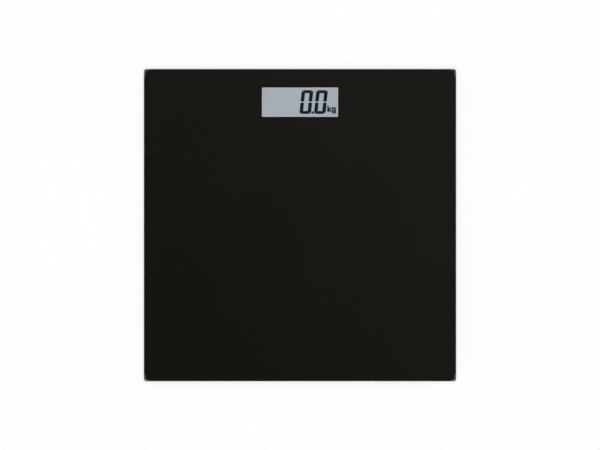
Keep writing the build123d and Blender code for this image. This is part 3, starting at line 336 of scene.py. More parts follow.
class Tree:
    """Shorthand for wiring one shader tree."""

    def __init__(self, tree: bpy.types.NodeTree) -> None:
        """Takes a tree and empties it."""
        self.tree = tree
        tree.nodes.clear()

    def add(self, kind: str, **settings: Any) -> Node:
        """Adds a node.

        Args:
            kind: The node's type without the ShaderNode prefix.
            settings: Values for its properties, and for its inputs by their names with underscores.

        Returns:
            The new node.
        """
        node = self.tree.nodes.new(kind if kind.startswith("NodeGroup") else "ShaderNode" + kind)
        for name, value in settings.items():
            if hasattr(node, name):
                setattr(node, name, value)
            else:
                self.feed(node.inputs[name.replace("_", " ")], value)
        return node

    def feed(self, socket: Socket, value: Any) -> None:
        """Sets an input to a plain value, or links it to another node's output.

        Args:
            socket: The input.
            value: The plain value or the output.
        """
        if isinstance(value, bpy.types.NodeSocket):
            self.tree.links.new(value, socket)
        else:
            socket.default_value = value

    def place(self, kind: str = "Object") -> Socket:
        """The place on the surface, in the object's own coordinates unless others are named."""
        return self.add("TexCoord").outputs[kind]

    def axes(self, kind: str = "Object") -> bpy.types.NodeOutputs:
        """The place on the surface, split into its X, Y and Z."""
        return self.add("SeparateXYZ", Vector=self.place(kind)).outputs

    def math(self, first: Socket | float, does: Op, second: Socket | float = 0.0) -> Socket:
        """Works out a value from two others.

        Args:
            first: The first value.
            does: What is done with them.
            second: The second value.

        Returns:
            The result.
        """
        node = self.add("Math", operation=does.value)
        self.feed(node.inputs[0], first)
        self.feed(node.inputs[1], second)
        return node.outputs[0]

    def length(self, vector: Socket) -> Socket:
        """The length of a vector."""
        return self.add("VectorMath", operation="LENGTH", Vector=vector).outputs["Value"]

    def mix(self, share: Socket, low: Socket | Triple, high: Socket | Triple) -> Socket:
        """Mixes two colours.

        Args:
            share: How much of the second colour shows.
            low: The first colour, as an output or as it looks on a screen.
            high: The second colour, likewise.

        Returns:
            The mixed colour.
        """
        factor, first, second, colour = 0, 6, 7, 2
        node = self.add("Mix", data_type="RGBA")
        for index, value in ((factor, share), (first, low), (second, high)):
            self.feed(node.inputs[index], shade(*value) if isinstance(value, tuple) else value)
        return node.outputs[colour]

    def blend(self, share: Socket, low: Node, high: Node) -> Node:
        """Mixes two shaders.

        Args:
            share: How much of the second shader shows.
            low: The node of the first shader.
            high: The node of the second shader.

        Returns:
            The node of the mixed shader.
        """
        node = self.add("MixShader")
        for socket, value in zip(node.inputs, (share, low.outputs[0], high.outputs[0])):
            self.feed(socket, value)
        return node

    def spread(
        self, value: Socket, low: float, high: float, start: float = 0.0, end: float = 1.0
    ) -> Socket:
        """Maps a value from one range to another.

        Args:
            value: The value to map.
            low: What the range's start becomes.
            high: What the range's end becomes.
            start: Start of the value's own range.
            end: End of the value's own range.

        Returns:
            The mapped value.
        """
        node = self.add("MapRange", clamp=True, Value=value)
        for name, number in (("From Min", start), ("From Max", end), ("To Min", low), ("To Max", high)):
            node.inputs[name].default_value = number
        return node.outputs["Result"]

    def total(self, start: Socket | float, *parts: tuple[Socket, float, float]) -> Socket:
        """Adds tones to a value.

        Args:
            start: The value.
            parts: Tones from 0 to 1, each with what it adds at 0 and at 1.

        Returns:
            The sum.
        """
        for tone, low, high in parts:
            start = self.math(start, Op.PLUS, self.spread(tone, low, high))
        return start

    def bump(self, height: Socket, depth: float) -> Socket:
        """The normal of a surface with a pattern raised on it, whose full height is in millimetres."""
        return self.add("Bump", Strength=1.0, Distance=depth * MM, Height=height).outputs["Normal"]

    def effect(self, which: Effect, size: float) -> bpy.types.NodeOutputs:
        """Places a shared effect.

        Args:
            which: The effect.
            size: Its pitch or width in millimetres.

        Returns:
            The outputs of the group's node.
        """
        node = self.add("Group", node_tree=which.group())
        self.feed(node.inputs[0], size * MM)
        return node.outputs


class Effect(Enum):
    """The shared surface effects, each one a node group with one size."""

    GRAIN = "moulded_grain"
    MOTTLE = "soft_mottle"
    LINES = "drawn_lines"
    CELLS = "foam_cells"
    EDGES = "rubbed_edges"

    def group(self) -> bpy.types.NodeTree:
        """Finds the effect's node group, or builds it on its first use.

        Returns:
            The node group.
        """
        found = bpy.data.node_groups.get(self.value)
        if found is None:
            found = bpy.data.node_groups.new(self.value, "ShaderNodeTree")
            build: dict[Effect, Callable[[Tree], None]] = {
                Effect.GRAIN: self.lay_grain,
                Effect.MOTTLE: self.lay_mottle,
                Effect.LINES: self.lay_lines,
                Effect.CELLS: self.lay_cells,
                Effect.EDGES: self.lay_edges,
            }
            build[self](Tree(found))
        return found

    @staticmethod
    def sockets(wire: Tree, size: str, *outputs: str) -> tuple[Socket, bpy.types.NodeInputs]:
        """Gives a group its sockets.

        Args:
            wire: The group's tree.
            size: Name of its one input.
            outputs: Names of its outputs.

        Returns:
            The value of the input, and the sockets that the group's results go to.
        """
        face = wire.tree.interface
        face.new_socket(name=size, in_out="INPUT", socket_type="NodeSocketFloat")
        for name in outputs:
            face.new_socket(name=name, in_out="OUTPUT", socket_type="NodeSocketFloat")
        return wire.add("NodeGroupInput").outputs[size], wire.add("NodeGroupOutput").inputs

    @staticmethod
    def lay_grain(wire: Tree) -> None:
        """Wires the fine pebbled grain that spark erosion leaves in a mould.

        Args:
            wire: The group's tree.
        """
        pitch, end = Effect.sockets(wire, "Pitch", "Height", "Tone")
        coarser, half = 0.6, 0.5
        place, often = wire.place(), wire.math(1.0, Op.OVER, pitch)
        pebble = wire.add("TexVoronoi", feature="SMOOTH_F1", Vector=place, Scale=often, Smoothness=0.6)
        rough = wire.add("TexNoise", Vector=place, Scale=wire.math(often, Op.TIMES, coarser), Detail=4.0)
        both = wire.math(pebble.outputs["Distance"], Op.PLUS, rough.outputs["Fac"])
        wire.feed(end["Height"], wire.math(both, Op.TIMES, half))
        wire.feed(end["Tone"], rough.outputs["Fac"])

    @staticmethod
    def lay_mottle(wire: Tree) -> None:
        """Wires the soft uneven tone of a large moulded or coated surface.

        Args:
            wire: The group's tree.
        """
        pitch, end = Effect.sockets(wire, "Pitch", "Tone")
        often = wire.math(1.0, Op.OVER, pitch)
        cloud = wire.add("TexNoise", Vector=wire.place(), Scale=often, Detail=5.0, Roughness=0.6)
        wire.feed(end["Tone"], wire.spread(cloud.outputs["Fac"], 0.0, 1.0, *NOISE_RANGE))

    @staticmethod
    def lay_lines(wire: Tree) -> None:
        """Wires the fine parallel lines of rolled or drawn metal, along X.

        Args:
            wire: The group's tree.
        """
        pitch, end = Effect.sockets(wire, "Pitch", "Height", "Tone")
        long = wire.add("Mapping", Vector=wire.place(), Scale=(0.03, 1.0, 1.0))
        often = wire.math(1.0, Op.OVER, pitch)
        lines = wire.add("TexNoise", Vector=long.outputs["Vector"], Scale=often, Detail=3.0)
        wire.feed(end["Height"], lines.outputs["Fac"])
        wire.feed(end["Tone"], wire.spread(lines.outputs["Fac"], 0.0, 1.0, *NOISE_RANGE))

    @staticmethod
    def lay_cells(wire: Tree) -> None:
        """Wires the open bubbles of cut foam, with a tone that is low in their hollows and high on their
        walls.

        Args:
            wire: The group's tree.
        """
        pitch, end = Effect.sockets(wire, "Pitch", "Height", "Tone")
        heart, wall = 0.1, 0.8
        bubbles = wire.add("TexVoronoi", Vector=wire.place(), Scale=wire.math(1.0, Op.OVER, pitch))
        wire.feed(end["Height"], bubbles.outputs["Distance"])
        wire.feed(end["Tone"], wire.spread(bubbles.outputs["Distance"], 0.0, 1.0, heart, wall))

    @staticmethod
    def lay_edges(wire: Tree) -> None:
        """Wires a mask of the edges that handling rubs smooth, which the finishes paint paler: partly wear,
        partly a painted highlight.

        Args:
            wire: The group's tree.
        """
        width, end = Effect.sockets(wire, "Width", "Mask")
        rubbed_and_lit, flat = 0.75, 0.99
        soft = wire.add("Bevel", samples=6, Radius=width)
        meet = wire.add("VectorMath", operation="DOT_PRODUCT")
        wire.feed(meet.inputs[0], soft.outputs["Normal"])
        wire.feed(meet.inputs[1], wire.add("NewGeometry").outputs["Normal"])
        wire.feed(end["Mask"], wire.spread(meet.outputs["Value"], 1.0, 0.0, rubbed_and_lit, flat))


# Finishes


@dataclass(frozen=True)
class Finish:
    """A surface finish: one material, built on its first use and shared by the pieces that have it."""

    name: str

    def material(self) -> bpy.types.Material:
        """Finds the finish's material, or builds it on its first use.

        Returns:
            The material.
        """
        found = bpy.data.materials.get("finish_" + self.name)
        if found is None:
            found = bpy.data.materials.new("finish_" + self.name)
            found.use_nodes = True
            wire = Tree(found.node_tree)
            wire.add("OutputMaterial", Surface=self.surface(wire).outputs[0])
        return found

    def surface(self, wire: Tree) -> Node:
        """Wires the finish and returns its shader's node."""
        raise NotImplementedError

    def put_on(self, piece: Piece) -> None:
        """Gives a piece this finish all over.

        Args:
            piece: The piece.
        """
        if not piece.material_slots:
            piece.data.materials.append(None)
        for place in piece.material_slots:
            place.material = self.material()


@dataclass(frozen=True)
class Moulded(Finish):
    """Moulded plastic or rubber: a pebbled grain, an uneven tone and edges that handling has smoothed,
    painted paler as partly wear and partly a painted highlight.
    """

    colour: Triple = (30, 30, 31)
    pale: Triple = (44, 44, 45)
    roughness: float = 0.55
    grain: float = 0.8
    depth: float = 0.02
    specular: float = 0.5
    cloud: float = 35.0
    edge: float = 0.5
    grain_share: float = 0.55
    cloud_share: float = 0.25
    edge_share: float = 0.5
    uneven: float = 0.05
    polish: float = 0.12

    def surface(self, wire: Tree) -> Node:
        """Wires the grain, the tone and the edges.

        Args:
            wire: The material's tree.

        Returns:
            The shader's node.
        """
        grain = wire.effect(Effect.GRAIN, self.grain)
        cloud = wire.effect(Effect.MOTTLE, self.cloud)["Tone"]
        rubbed_and_lit = wire.effect(Effect.EDGES, self.edge)["Mask"]
        speckle = wire.spread(grain["Tone"], 0.0, self.grain_share, *NOISE_RANGE)
        # The edges are painted paler: partly wear, partly a painted highlight.
        worn_and_lit = wire.total(speckle, (cloud, 0.0, self.cloud_share), (rubbed_and_lit, 0.0, self.edge_share))
        handled = ((cloud, -self.uneven, self.uneven), (rubbed_and_lit, 0.0, -self.polish))
        return wire.add(
            "BsdfPrincipled",
            Base_Color=wire.mix(worn_and_lit, self.colour, self.pale),
            Roughness=wire.total(self.roughness, *handled),
            Normal=wire.bump(grain["Height"], self.depth),
            Specular_IOR_Level=self.specular,
        )


@dataclass(frozen=True)
class Metal(Finish):
    """Bare or plated metal with drawn lines, a soft tarnish and brighter edges, partly wear and partly a
    painted highlight.
    """

    colour: Triple = (190, 190, 188)
    dull: Triple = (150, 150, 148)
    roughness: float = 0.3
    line_pitch: float = 0.4
    line_depth: float = 0.004
    cloud: float = 6.0
    edge: float = 0.3
    cloud_share: float = 0.6
    line_share: float = 0.4
    bright: float = 0.06
    tarnish: float = 0.08

    def surface(self, wire: Tree) -> Node:
        """Wires the lines, the tarnish and the edges.

        Args:
            wire: The material's tree.

        Returns:
            The shader's node.
        """
        lines = wire.effect(Effect.LINES, self.line_pitch)
        cloud = wire.effect(Effect.MOTTLE, self.cloud)["Tone"]
        rubbed_and_lit = wire.effect(Effect.EDGES, self.edge)["Mask"]
        tone = wire.total(wire.spread(cloud, 0.0, self.cloud_share), (lines["Tone"], 0.0, self.line_share))
        # The edges are painted brighter: partly wear, partly a painted highlight.
        worn_and_lit = wire.add("Clamp", Value=wire.math(tone, Op.LESS, rubbed_and_lit)).outputs["Result"]
        return wire.add(
            "BsdfPrincipled",
            Base_Color=wire.mix(worn_and_lit, self.colour, self.dull),
            Roughness=wire.total(self.roughness, (cloud, -self.bright, self.tarnish)),
            Normal=wire.bump(lines["Height"], self.line_depth),
            Metallic=1.0,
        )


@dataclass(frozen=True)
class PlatformGlass(Finish):
    """Clear toughened glass with a faint green body, which lets the lamps through to what lies under it."""

    tint: Triple = (249, 252, 251)
    ior: float = 1.5
    wipe_pitch: float = 50.0
    wipe_haze: float = 0.012

    def surface(self, wire: Tree) -> Node:
        """Wires the glass, with faint wipe marks in its gloss.

        Args:
            wire: The material's tree.

        Returns:
            The shader's node.
        """
        marks = wire.effect(Effect.MOTTLE, self.wipe_pitch)["Tone"]
        glass = wire.add(
            "BsdfPrincipled",
            Base_Color=shade(*self.tint),
            Roughness=wire.spread(marks, 0.0, self.wipe_haze),
            IOR=self.ior,
            Transmission_Weight=1.0,
        )
        shadow = wire.add("LightPath").outputs["Is Shadow Ray"]
        return wire.blend(shadow, glass, wire.add("BsdfTransparent"))


@dataclass(frozen=True)
class Ink(Finish):
    """Printed or displayed ink: a dense flat colour with the faint screen of the print in it."""

    colour: Triple = (20, 19, 15)
    pale: Triple = (22, 21, 17)
    roughness: float = 0.5
    specular: float = 0.0
    screen: float = 0.25
    cloud: float = 80.0
    screen_share: float = 0.4
    cloud_share: float = 0.6
    uneven: float = 0.05

    def surface(self, wire: Tree) -> Node:
        """Wires the screen of the print and its soft cloud. It is bonded to the glass, so it has no gloss.

        Args:
            wire: The material's tree.

        Returns:
            The shader's node.
        """
        screen = wire.effect(Effect.GRAIN, self.screen)["Tone"]
        cloud = wire.effect(Effect.MOTTLE, self.cloud)["Tone"]
        tone = wire.total(wire.spread(screen, 0.0, self.screen_share), (cloud, 0.0, self.cloud_share))
        return wire.add(
            "BsdfPrincipled",
            Base_Color=self.with_painted_glints(wire, wire.mix(tone, self.colour, self.pale)),
            Roughness=wire.total(self.roughness, (cloud, -self.uneven, self.uneven)),
            Specular_IOR_Level=self.specular,
        )

    def with_painted_glints(self, wire: Tree, ink: Socket) -> Socket:
        """The colour with painted corner glints added. Plain ink has none."""
        return ink


@dataclass(frozen=True)
class BackPrint(Ink):
    """The print on the back of the glass, with a grey band along its corners painted in as a painted glint.
    """

    # The grey of the painted glint: painted light that stands in for what the glass's corners reflect.
    painted_glint: Triple = (120, 119, 116)
    half_side: float = 150.0
    corner_radius: float = CORNER_RADIUS
    band: float = 1.3
    reach: Pair = (5.0, 7.2)
    fade: float = 1.2

    def with_painted_glints(self, wire: Tree, ink: Socket) -> Socket:
        """Paints a glint on the four corners as a painted highlight: a grey band of one width along the
        outline, as far as it reaches each way.

        Args:
            wire: The material's tree.
            ink: The colour of the ink.

        Returns:
            The colour of the ink with the painted corner glints.
        """
        place = wire.axes()
        arm = wire.add("CombineXYZ")
        ends = []
        for axis, reach in zip("XY", self.reach):
            far = wire.math(place[axis], Op.SIZE)
            begin = self.half_side - reach
            ends.append(wire.spread(far, 0.0, 1.0, begin * MM, (begin + self.fade) * MM))
            turn = wire.math(far, Op.LESS, (self.half_side - self.corner_radius) * MM)
            wire.feed(arm.inputs[axis], wire.math(turn, Op.MOST, 0.0))
        out = wire.length(arm.outputs["Vector"])
        edge = wire.math(out, Op.ABOVE, (self.corner_radius - self.band) * MM)
        # The mask of the painted corner glint, a painted highlight.
        bare = wire.math(edge, Op.TIMES, wire.math(ends[0], Op.TIMES, ends[1]))
        return wire.mix(bare, ink, self.painted_glint)


@dataclass(frozen=True)
class DisplayGround(Finish):
    """The pale background of a reflective display: a fine sparkle under a film, painted lighter along the
    window's edges as painted light against the print's shade.
    """

    colour: Triple = (172, 177, 186)
    pale: Triple = (183, 188, 196)
    # The colour painted along the window's edges: painted light against the shade that the print casts
    # there.
    edge: Triple = (207, 207, 207)
    window: Pair = WINDOW
    window_y: float = WINDOW_Y
    painted_light_band: float = 1.4
    roughness: Pair = (0.35, 0.55)
    specular: float = 0.3
    sparkle: float = 0.22
    depth: float = 0.004
    cloud: float = 20.0
    sparkle_share: float = 0.35
    cloud_share: float = 0.2

    def surface(self, wire: Tree) -> Node:
        """Wires the sparkle, and a band painted lighter by the distance to the window's edge: painted light
        that cancels the print's shade there.

        Args:
            wire: The material's tree.

        Returns:
            The shader's node.
        """
        grain = wire.effect(Effect.GRAIN, self.sparkle)
        cloud = wire.effect(Effect.MOTTLE, self.cloud)["Tone"]
        place = wire.axes()
        half_x, half_y = (side / 2 * MM for side in self.window)
        across = wire.math(half_x, Op.LESS, wire.math(place["X"], Op.SIZE))
        off = wire.math(wire.math(place["Y"], Op.LESS, self.window_y * MM), Op.SIZE)
        near = wire.math(across, Op.LEAST, wire.math(half_y, Op.LESS, off))
        # The band along the window's edges that is painted lighter, as painted light.
        painted_light_band = wire.spread(near, 1.0, 0.0, 0.0, self.painted_light_band * MM)
        sparkle = wire.spread(grain["Tone"], 0.0, self.sparkle_share)
        plain = wire.mix(wire.total(sparkle, (cloud, 0.0, self.cloud_share)), self.colour, self.pale)
        return wire.add(
            "BsdfPrincipled",
            Base_Color=wire.mix(painted_light_band, plain, self.edge),
            Roughness=wire.spread(grain["Tone"], *self.roughness),
            Normal=wire.bump(grain["Height"], self.depth),
            Specular_IOR_Level=self.specular,
        )


@dataclass(frozen=True)
class Foam(Finish):
    """Cut foam with open bubbles, painted darker in their hollows than on their walls as painted shade."""

    colour: Triple = (22, 22, 23)
    pale: Triple = (52, 52, 53)
    roughness: Pair = (0.98, 0.85)
    specular: float = 0.2
    bubble: float = 0.45
    depth: float = 0.12

    def surface(self, wire: Tree) -> Node:
        """Wires the bubbles.

        Args:
            wire: The material's tree.

        Returns:
            The shader's node.
        """
        # The bubbles' hollows are painted darker than their walls: painted shade.
        cells = wire.effect(Effect.CELLS, self.bubble)
        return wire.add(
            "BsdfPrincipled",
            Base_Color=wire.mix(cells["Tone"], self.colour, self.pale),
            Roughness=wire.spread(cells["Tone"], *self.roughness),
            Normal=wire.bump(cells["Height"], self.depth),
            Specular_IOR_Level=self.specular,
        )


@dataclass(frozen=True)
class CellSleeve(Finish):
    """The sleeve of a dry cell: a dark body, a copper shoulder towards its nub and bare steel at both ends.

    The ends of the bands are shares of the cell's length, counted from the nub.
    """

    nub_end: float = 22.0
    way: int = 1
    length: float = 44.5
    steel: Triple = (196, 196, 194)
    copper: Triple = (176, 112, 66)
    line: Triple = (214, 208, 196)
    body: Triple = (34, 34, 38)
    cap_end: float = 0.03
    copper_end: float = 0.3
    body_start: float = 0.315
    body_end: float = 0.955
    base_start: float = 0.97
    roughness: Pair = (0.26, 0.36)
    bare_rougher: float = 0.06
    coated: float = 0.85
    cloud: float = 4.0
    cloud_share: float = 0.12

    def bands(self, wire: Tree, share: Socket) -> Socket:
        """Wires the colours of the bands.

        Args:
            wire: The material's tree.
            share: The place along the cell, from 0 at the nub to 1.

        Returns:
            The colour at that place.
        """
        node = wire.add("ValToRGB", Fac=share)
        ramp = node.color_ramp
        ramp.interpolation = "CONSTANT"
        marks = (
            (0.0, self.steel),
            (self.cap_end, self.copper),
            (self.copper_end, self.line),
            (self.body_start, self.body),
            (self.body_end, self.line),
            (self.base_start, self.steel),
        )
        while len(ramp.elements) < len(marks):
            ramp.elements.new(1.0)
        for element, (start, colour) in zip(ramp.elements, marks):
            element.position = start
            element.color = shade(*colour)
        return node.outputs["Color"]

    def surface(self, wire: Tree) -> Node:
        """Wires the bands along X, with bare metal at both ends and a metal coat on the shoulder.

        Args:
            wire: The material's tree.

        Returns:
            The shader's node.
        """
        from_nub = wire.math(self.nub_end * MM, Op.LESS, wire.axes()["X"])
        share = wire.math(wire.math(from_nub, Op.TIMES, float(self.way)), Op.OVER, self.length * MM)
        cap = wire.math(share, Op.BELOW, self.cap_end)
        bare = wire.math(cap, Op.PLUS, wire.math(share, Op.ABOVE, self.base_start))
        shoulder = wire.math(share, Op.BELOW, self.body_start)
        foot = wire.math(share, Op.ABOVE, self.body_end)
        cloud = wire.effect(Effect.MOTTLE, self.cloud)["Tone"]
        shiny = wire.total(wire.spread(shoulder, 0.0, self.coated), (bare, 0.0, 1.0 - self.coated))
        return wire.add(
            "BsdfPrincipled",
            Base_Color=wire.mix(wire.spread(cloud, 0.0, self.cloud_share), self.bands(wire, share), BLACK),
            Roughness=wire.total(wire.spread(cloud, *self.roughness), (bare, 0.0, self.bare_rougher)),
            Metallic=wire.math(shiny, Op.MOST, wire.spread(foot, 0.0, self.coated)),
        )


@dataclass(frozen=True)
class BoardMask(Finish):
    """A circuit board: green lacquer over a net of copper tracks."""

    colour: Triple = (18, 78, 46)
    track: Triple = (34, 112, 66)
    roughness: float = 0.3
    uneven: float = 0.05
    cloud: float = 10.0
    track_width: float = 0.2
    track_pitch: Pair = (5.2, 1.3)
    stagger: float = 0.5
    depth: float = 0.03

    def surface(self, wire: Tree) -> Node:
        """Wires the tracks, which show through and stand a little proud.

        Args:
            wire: The material's tree.

        Returns:
            The shader's node.
        """
        length, row = self.track_pitch
        net = wire.add(
            "TexBrick",
            Vector=wire.place(),
            Scale=1.0,
            offset=self.stagger,
            Mortar_Size=self.track_width * MM,
            Brick_Width=length * MM,
            Row_Height=row * MM,
        )
        tracks = net.outputs["Fac"]
        cloud = wire.effect(Effect.MOTTLE, self.cloud)["Tone"]
        return wire.add(
            "BsdfPrincipled",
            Base_Color=wire.mix(tracks, self.colour, self.track),
            Roughness=wire.total(self.roughness, (cloud, -self.uneven, self.uneven)),
            Normal=wire.bump(tracks, self.depth),
        )


@dataclass(frozen=True)
class ContactRubber(Finish):
    """The contact rubber of a display: black carbon layers between pale rubber ones, across its length."""

    dark: Triple = (26, 25, 27)
    pale: Triple = (206, 160, 150)
    roughness: Pair = (0.6, 0.75)
    layer_scale: float = 2200.0
    cloud: float = 3.0

    def surface(self, wire: Tree) -> Node:
        """Wires the layers.

        Args:
            wire: The material's tree.

        Returns:
            The shader's node.
        """
        layers = wire.add("TexWave", wave_type="BANDS", bands_direction="X", Scale=self.layer_scale)
        wire.feed(layers.inputs["Vector"], wire.place())
        cloud = wire.effect(Effect.MOTTLE, self.cloud)["Tone"]
        return wire.add(
            "BsdfPrincipled",
            Base_Color=wire.mix(layers.outputs["Fac"], self.dark, self.pale),
            Roughness=wire.spread(cloud, *self.roughness),
        )


class Finishes:
    """The finishes of the scale, by the maker's names."""

    GLASS = PlatformGlass("platform_glass")
    # The back print, with a painted glint on each corner.
    PRINT_AND_GLINTS = BackPrint("back_print_and_painted_glints")
    SEGMENT = Ink("display_segment", (8, 17, 24), (12, 21, 28), roughness=0.4)
    GROUND = DisplayGround("display_ground")
    FOAM = Foam("black_foam")
    TRAY = Moulded("tray_plastic", (31, 31, 32), (50, 50, 51), roughness=0.5, grain=0.9, depth=0.06)
    MARK = Moulded("raised_mark", (92, 92, 93), (114, 114, 115), roughness=0.4, grain=0.5, depth=0.008)
    FOOT = Moulded("foot_plastic", (46, 47, 49), (66, 67, 69), roughness=0.42, grain=0.5, depth=0.01)
    PAD = Moulded(
        "pad_rubber", (86, 87, 89), (110, 111, 112), roughness=0.85, grain=0.4, depth=0.03, specular=0.3
    )
    BUTTON = Moulded(
        "button_plastic", (150, 152, 154), (172, 174, 176), roughness=0.38, grain=0.4, depth=0.006
    )
    HOLDER = Moulded(
        "holder_plastic", (198, 198, 194), (216, 216, 212), roughness=0.5, grain=0.6, depth=0.012
    )
    FRAME = Moulded("frame_plastic", (24, 24, 25), (38, 38, 39), roughness=0.5, grain=0.6, depth=0.012)
    SWITCH = Moulded("switch_body", (26, 26, 27), (42, 42, 43), roughness=0.4, grain=0.3, depth=0.006)
    PLUNGER = Moulded(
        "switch_plunger", (150, 44, 38), (176, 60, 52), roughness=0.35, grain=0.3, depth=0.004
    )
    SLEEVE = Moulded("wire_sleeve", (150, 30, 30), (176, 48, 46), roughness=0.4, grain=0.3, depth=0.004)
    RESIN = Moulded("black_resin", (14, 14, 15), (24, 24, 25), roughness=0.18, grain=1.6, depth=0.01)
    COMPONENT = Moulded(
        "board_component", (128, 104, 74), (160, 134, 100), roughness=0.45, grain=0.3, depth=0.006
    )
    SILICONE = Moulded(
        "silicone_coat", (206, 208, 206), (224, 225, 222), roughness=0.3, grain=1.2, depth=0.012
    )
    FILM = Moulded(
        "reflecting_film", (178, 182, 184), (196, 199, 200), roughness=0.25, grain=0.25, depth=0.002
    )
    PANE = Moulded("display_pane", (150, 158, 158), (168, 176, 175), roughness=0.1, grain=3.0, depth=0.001)
    RUBBER = ContactRubber("contact_rubber")
    BOARD = BoardMask("board_laminate")
    SCREW = Metal("screw_steel", (176, 178, 180), (132, 134, 136), roughness=0.32)
    LOAD_CELL = Metal("load_cell_steel", (162, 163, 164), (116, 117, 118), roughness=0.36, line_pitch=0.3)
    NICKEL = Metal("contact_nickel", (208, 202, 190), (168, 161, 148), roughness=0.24, line_pitch=0.2)


# Sub-assemblies


@dataclass
class Assembly:
    """A part of the scale: CAD nodes that get a finish, and new pieces that are modelled here."""

    nodes: dict[str, Piece]
    made: list[str] = field(default_factory=list)

    def dress(self, finish: Finish, *names: str) -> None:
        """Gives CAD nodes a finish.

        Args:
            finish: The finish.
            names: The nodes' names.
        """
        for name in names:
            finish.put_on(self.nodes[name])
            LOG.info("node %s: %s", name, finish.name)

    def keep(self, piece: Piece, finish: Finish, body: Body, slot: str) -> Piece:
        """Takes a new piece into the model.

        Args:
            piece: The finished piece.
            finish: Its finish.
            body: The body that it moves with.
            slot: The record's material slot; not used.

        Returns:
            The piece.
        """
        finish.put_on(piece)
        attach(piece, body.value)
        self.made.append(piece.name)
        LOG.info("piece %s on %s: %s", piece.name, body.value, finish.name)
        return piece

    def build(self) -> None:
        """Models and dresses the assembly."""
        raise NotImplementedError


@dataclass
class Platform(Assembly):
    """The glass platform, the black print on its back and the foam that bonds it to the tray."""

    print_side: float = 298.0
    print_low: float = 18.8
    print_thickness: float = 0.2
    corner_radius: float = CORNER_RADIUS
    corner_steps: int = 8
    glass_foot_half: float = 149.18
    rim_half: float = 149.95
    rim_rise: float = 0.77
    set_in: float = 0.02
    window: Pair = WINDOW
    window_y: float = WINDOW_Y

    def build(self) -> None:
        """Dresses the glass and the foam, and models the print."""
        self.dress(Finishes.GLASS, "glass_platform")
        self.dress(Finishes.FOAM, "glass_tape", "corner_tape_pads")
        # The print's finish paints a glint on each corner as a painted highlight.
        coat = self.keep(self.print_coat(), Finishes.PRINT_AND_GLINTS, Body.SCALE, "black_print")
        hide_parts("backing_print")

    def print_coat(self) -> Piece:
        """Models the print: a thin coat that laps up the lower bevel that grinding left on the glass, open
        at the display window.

        Returns:
            The coat.
        """
        coat = Draft.sheet("printed_back", self.print_side, self.print_side)
        coat.round_corners(self.corner_radius, self.corner_steps)
        coat.pull(self.print_thickness, self.glass_foot_half / (self.print_side / 2))
        coat.pull(self.rim_rise, self.rim_half / self.glass_foot_half)
        coat.pull(self.set_in - self.rim_rise, (self.glass_foot_half - self.set_in) / self.rim_half)
        half_x, half_y = (side / 2 for side in self.window)
        for side in (-1, 1):
            coat.cut((side * half_x, 0, 0), ALONG_X)
            coat.cut((0, self.window_y + side * half_y, 0), ALONG_Y)
        coat.drop(lambda c: abs(c.x) < half_x and abs(c.y - self.window_y) < half_y)
        coat.wall_opening()
        return coat.settle((0, 0, self.print_low))


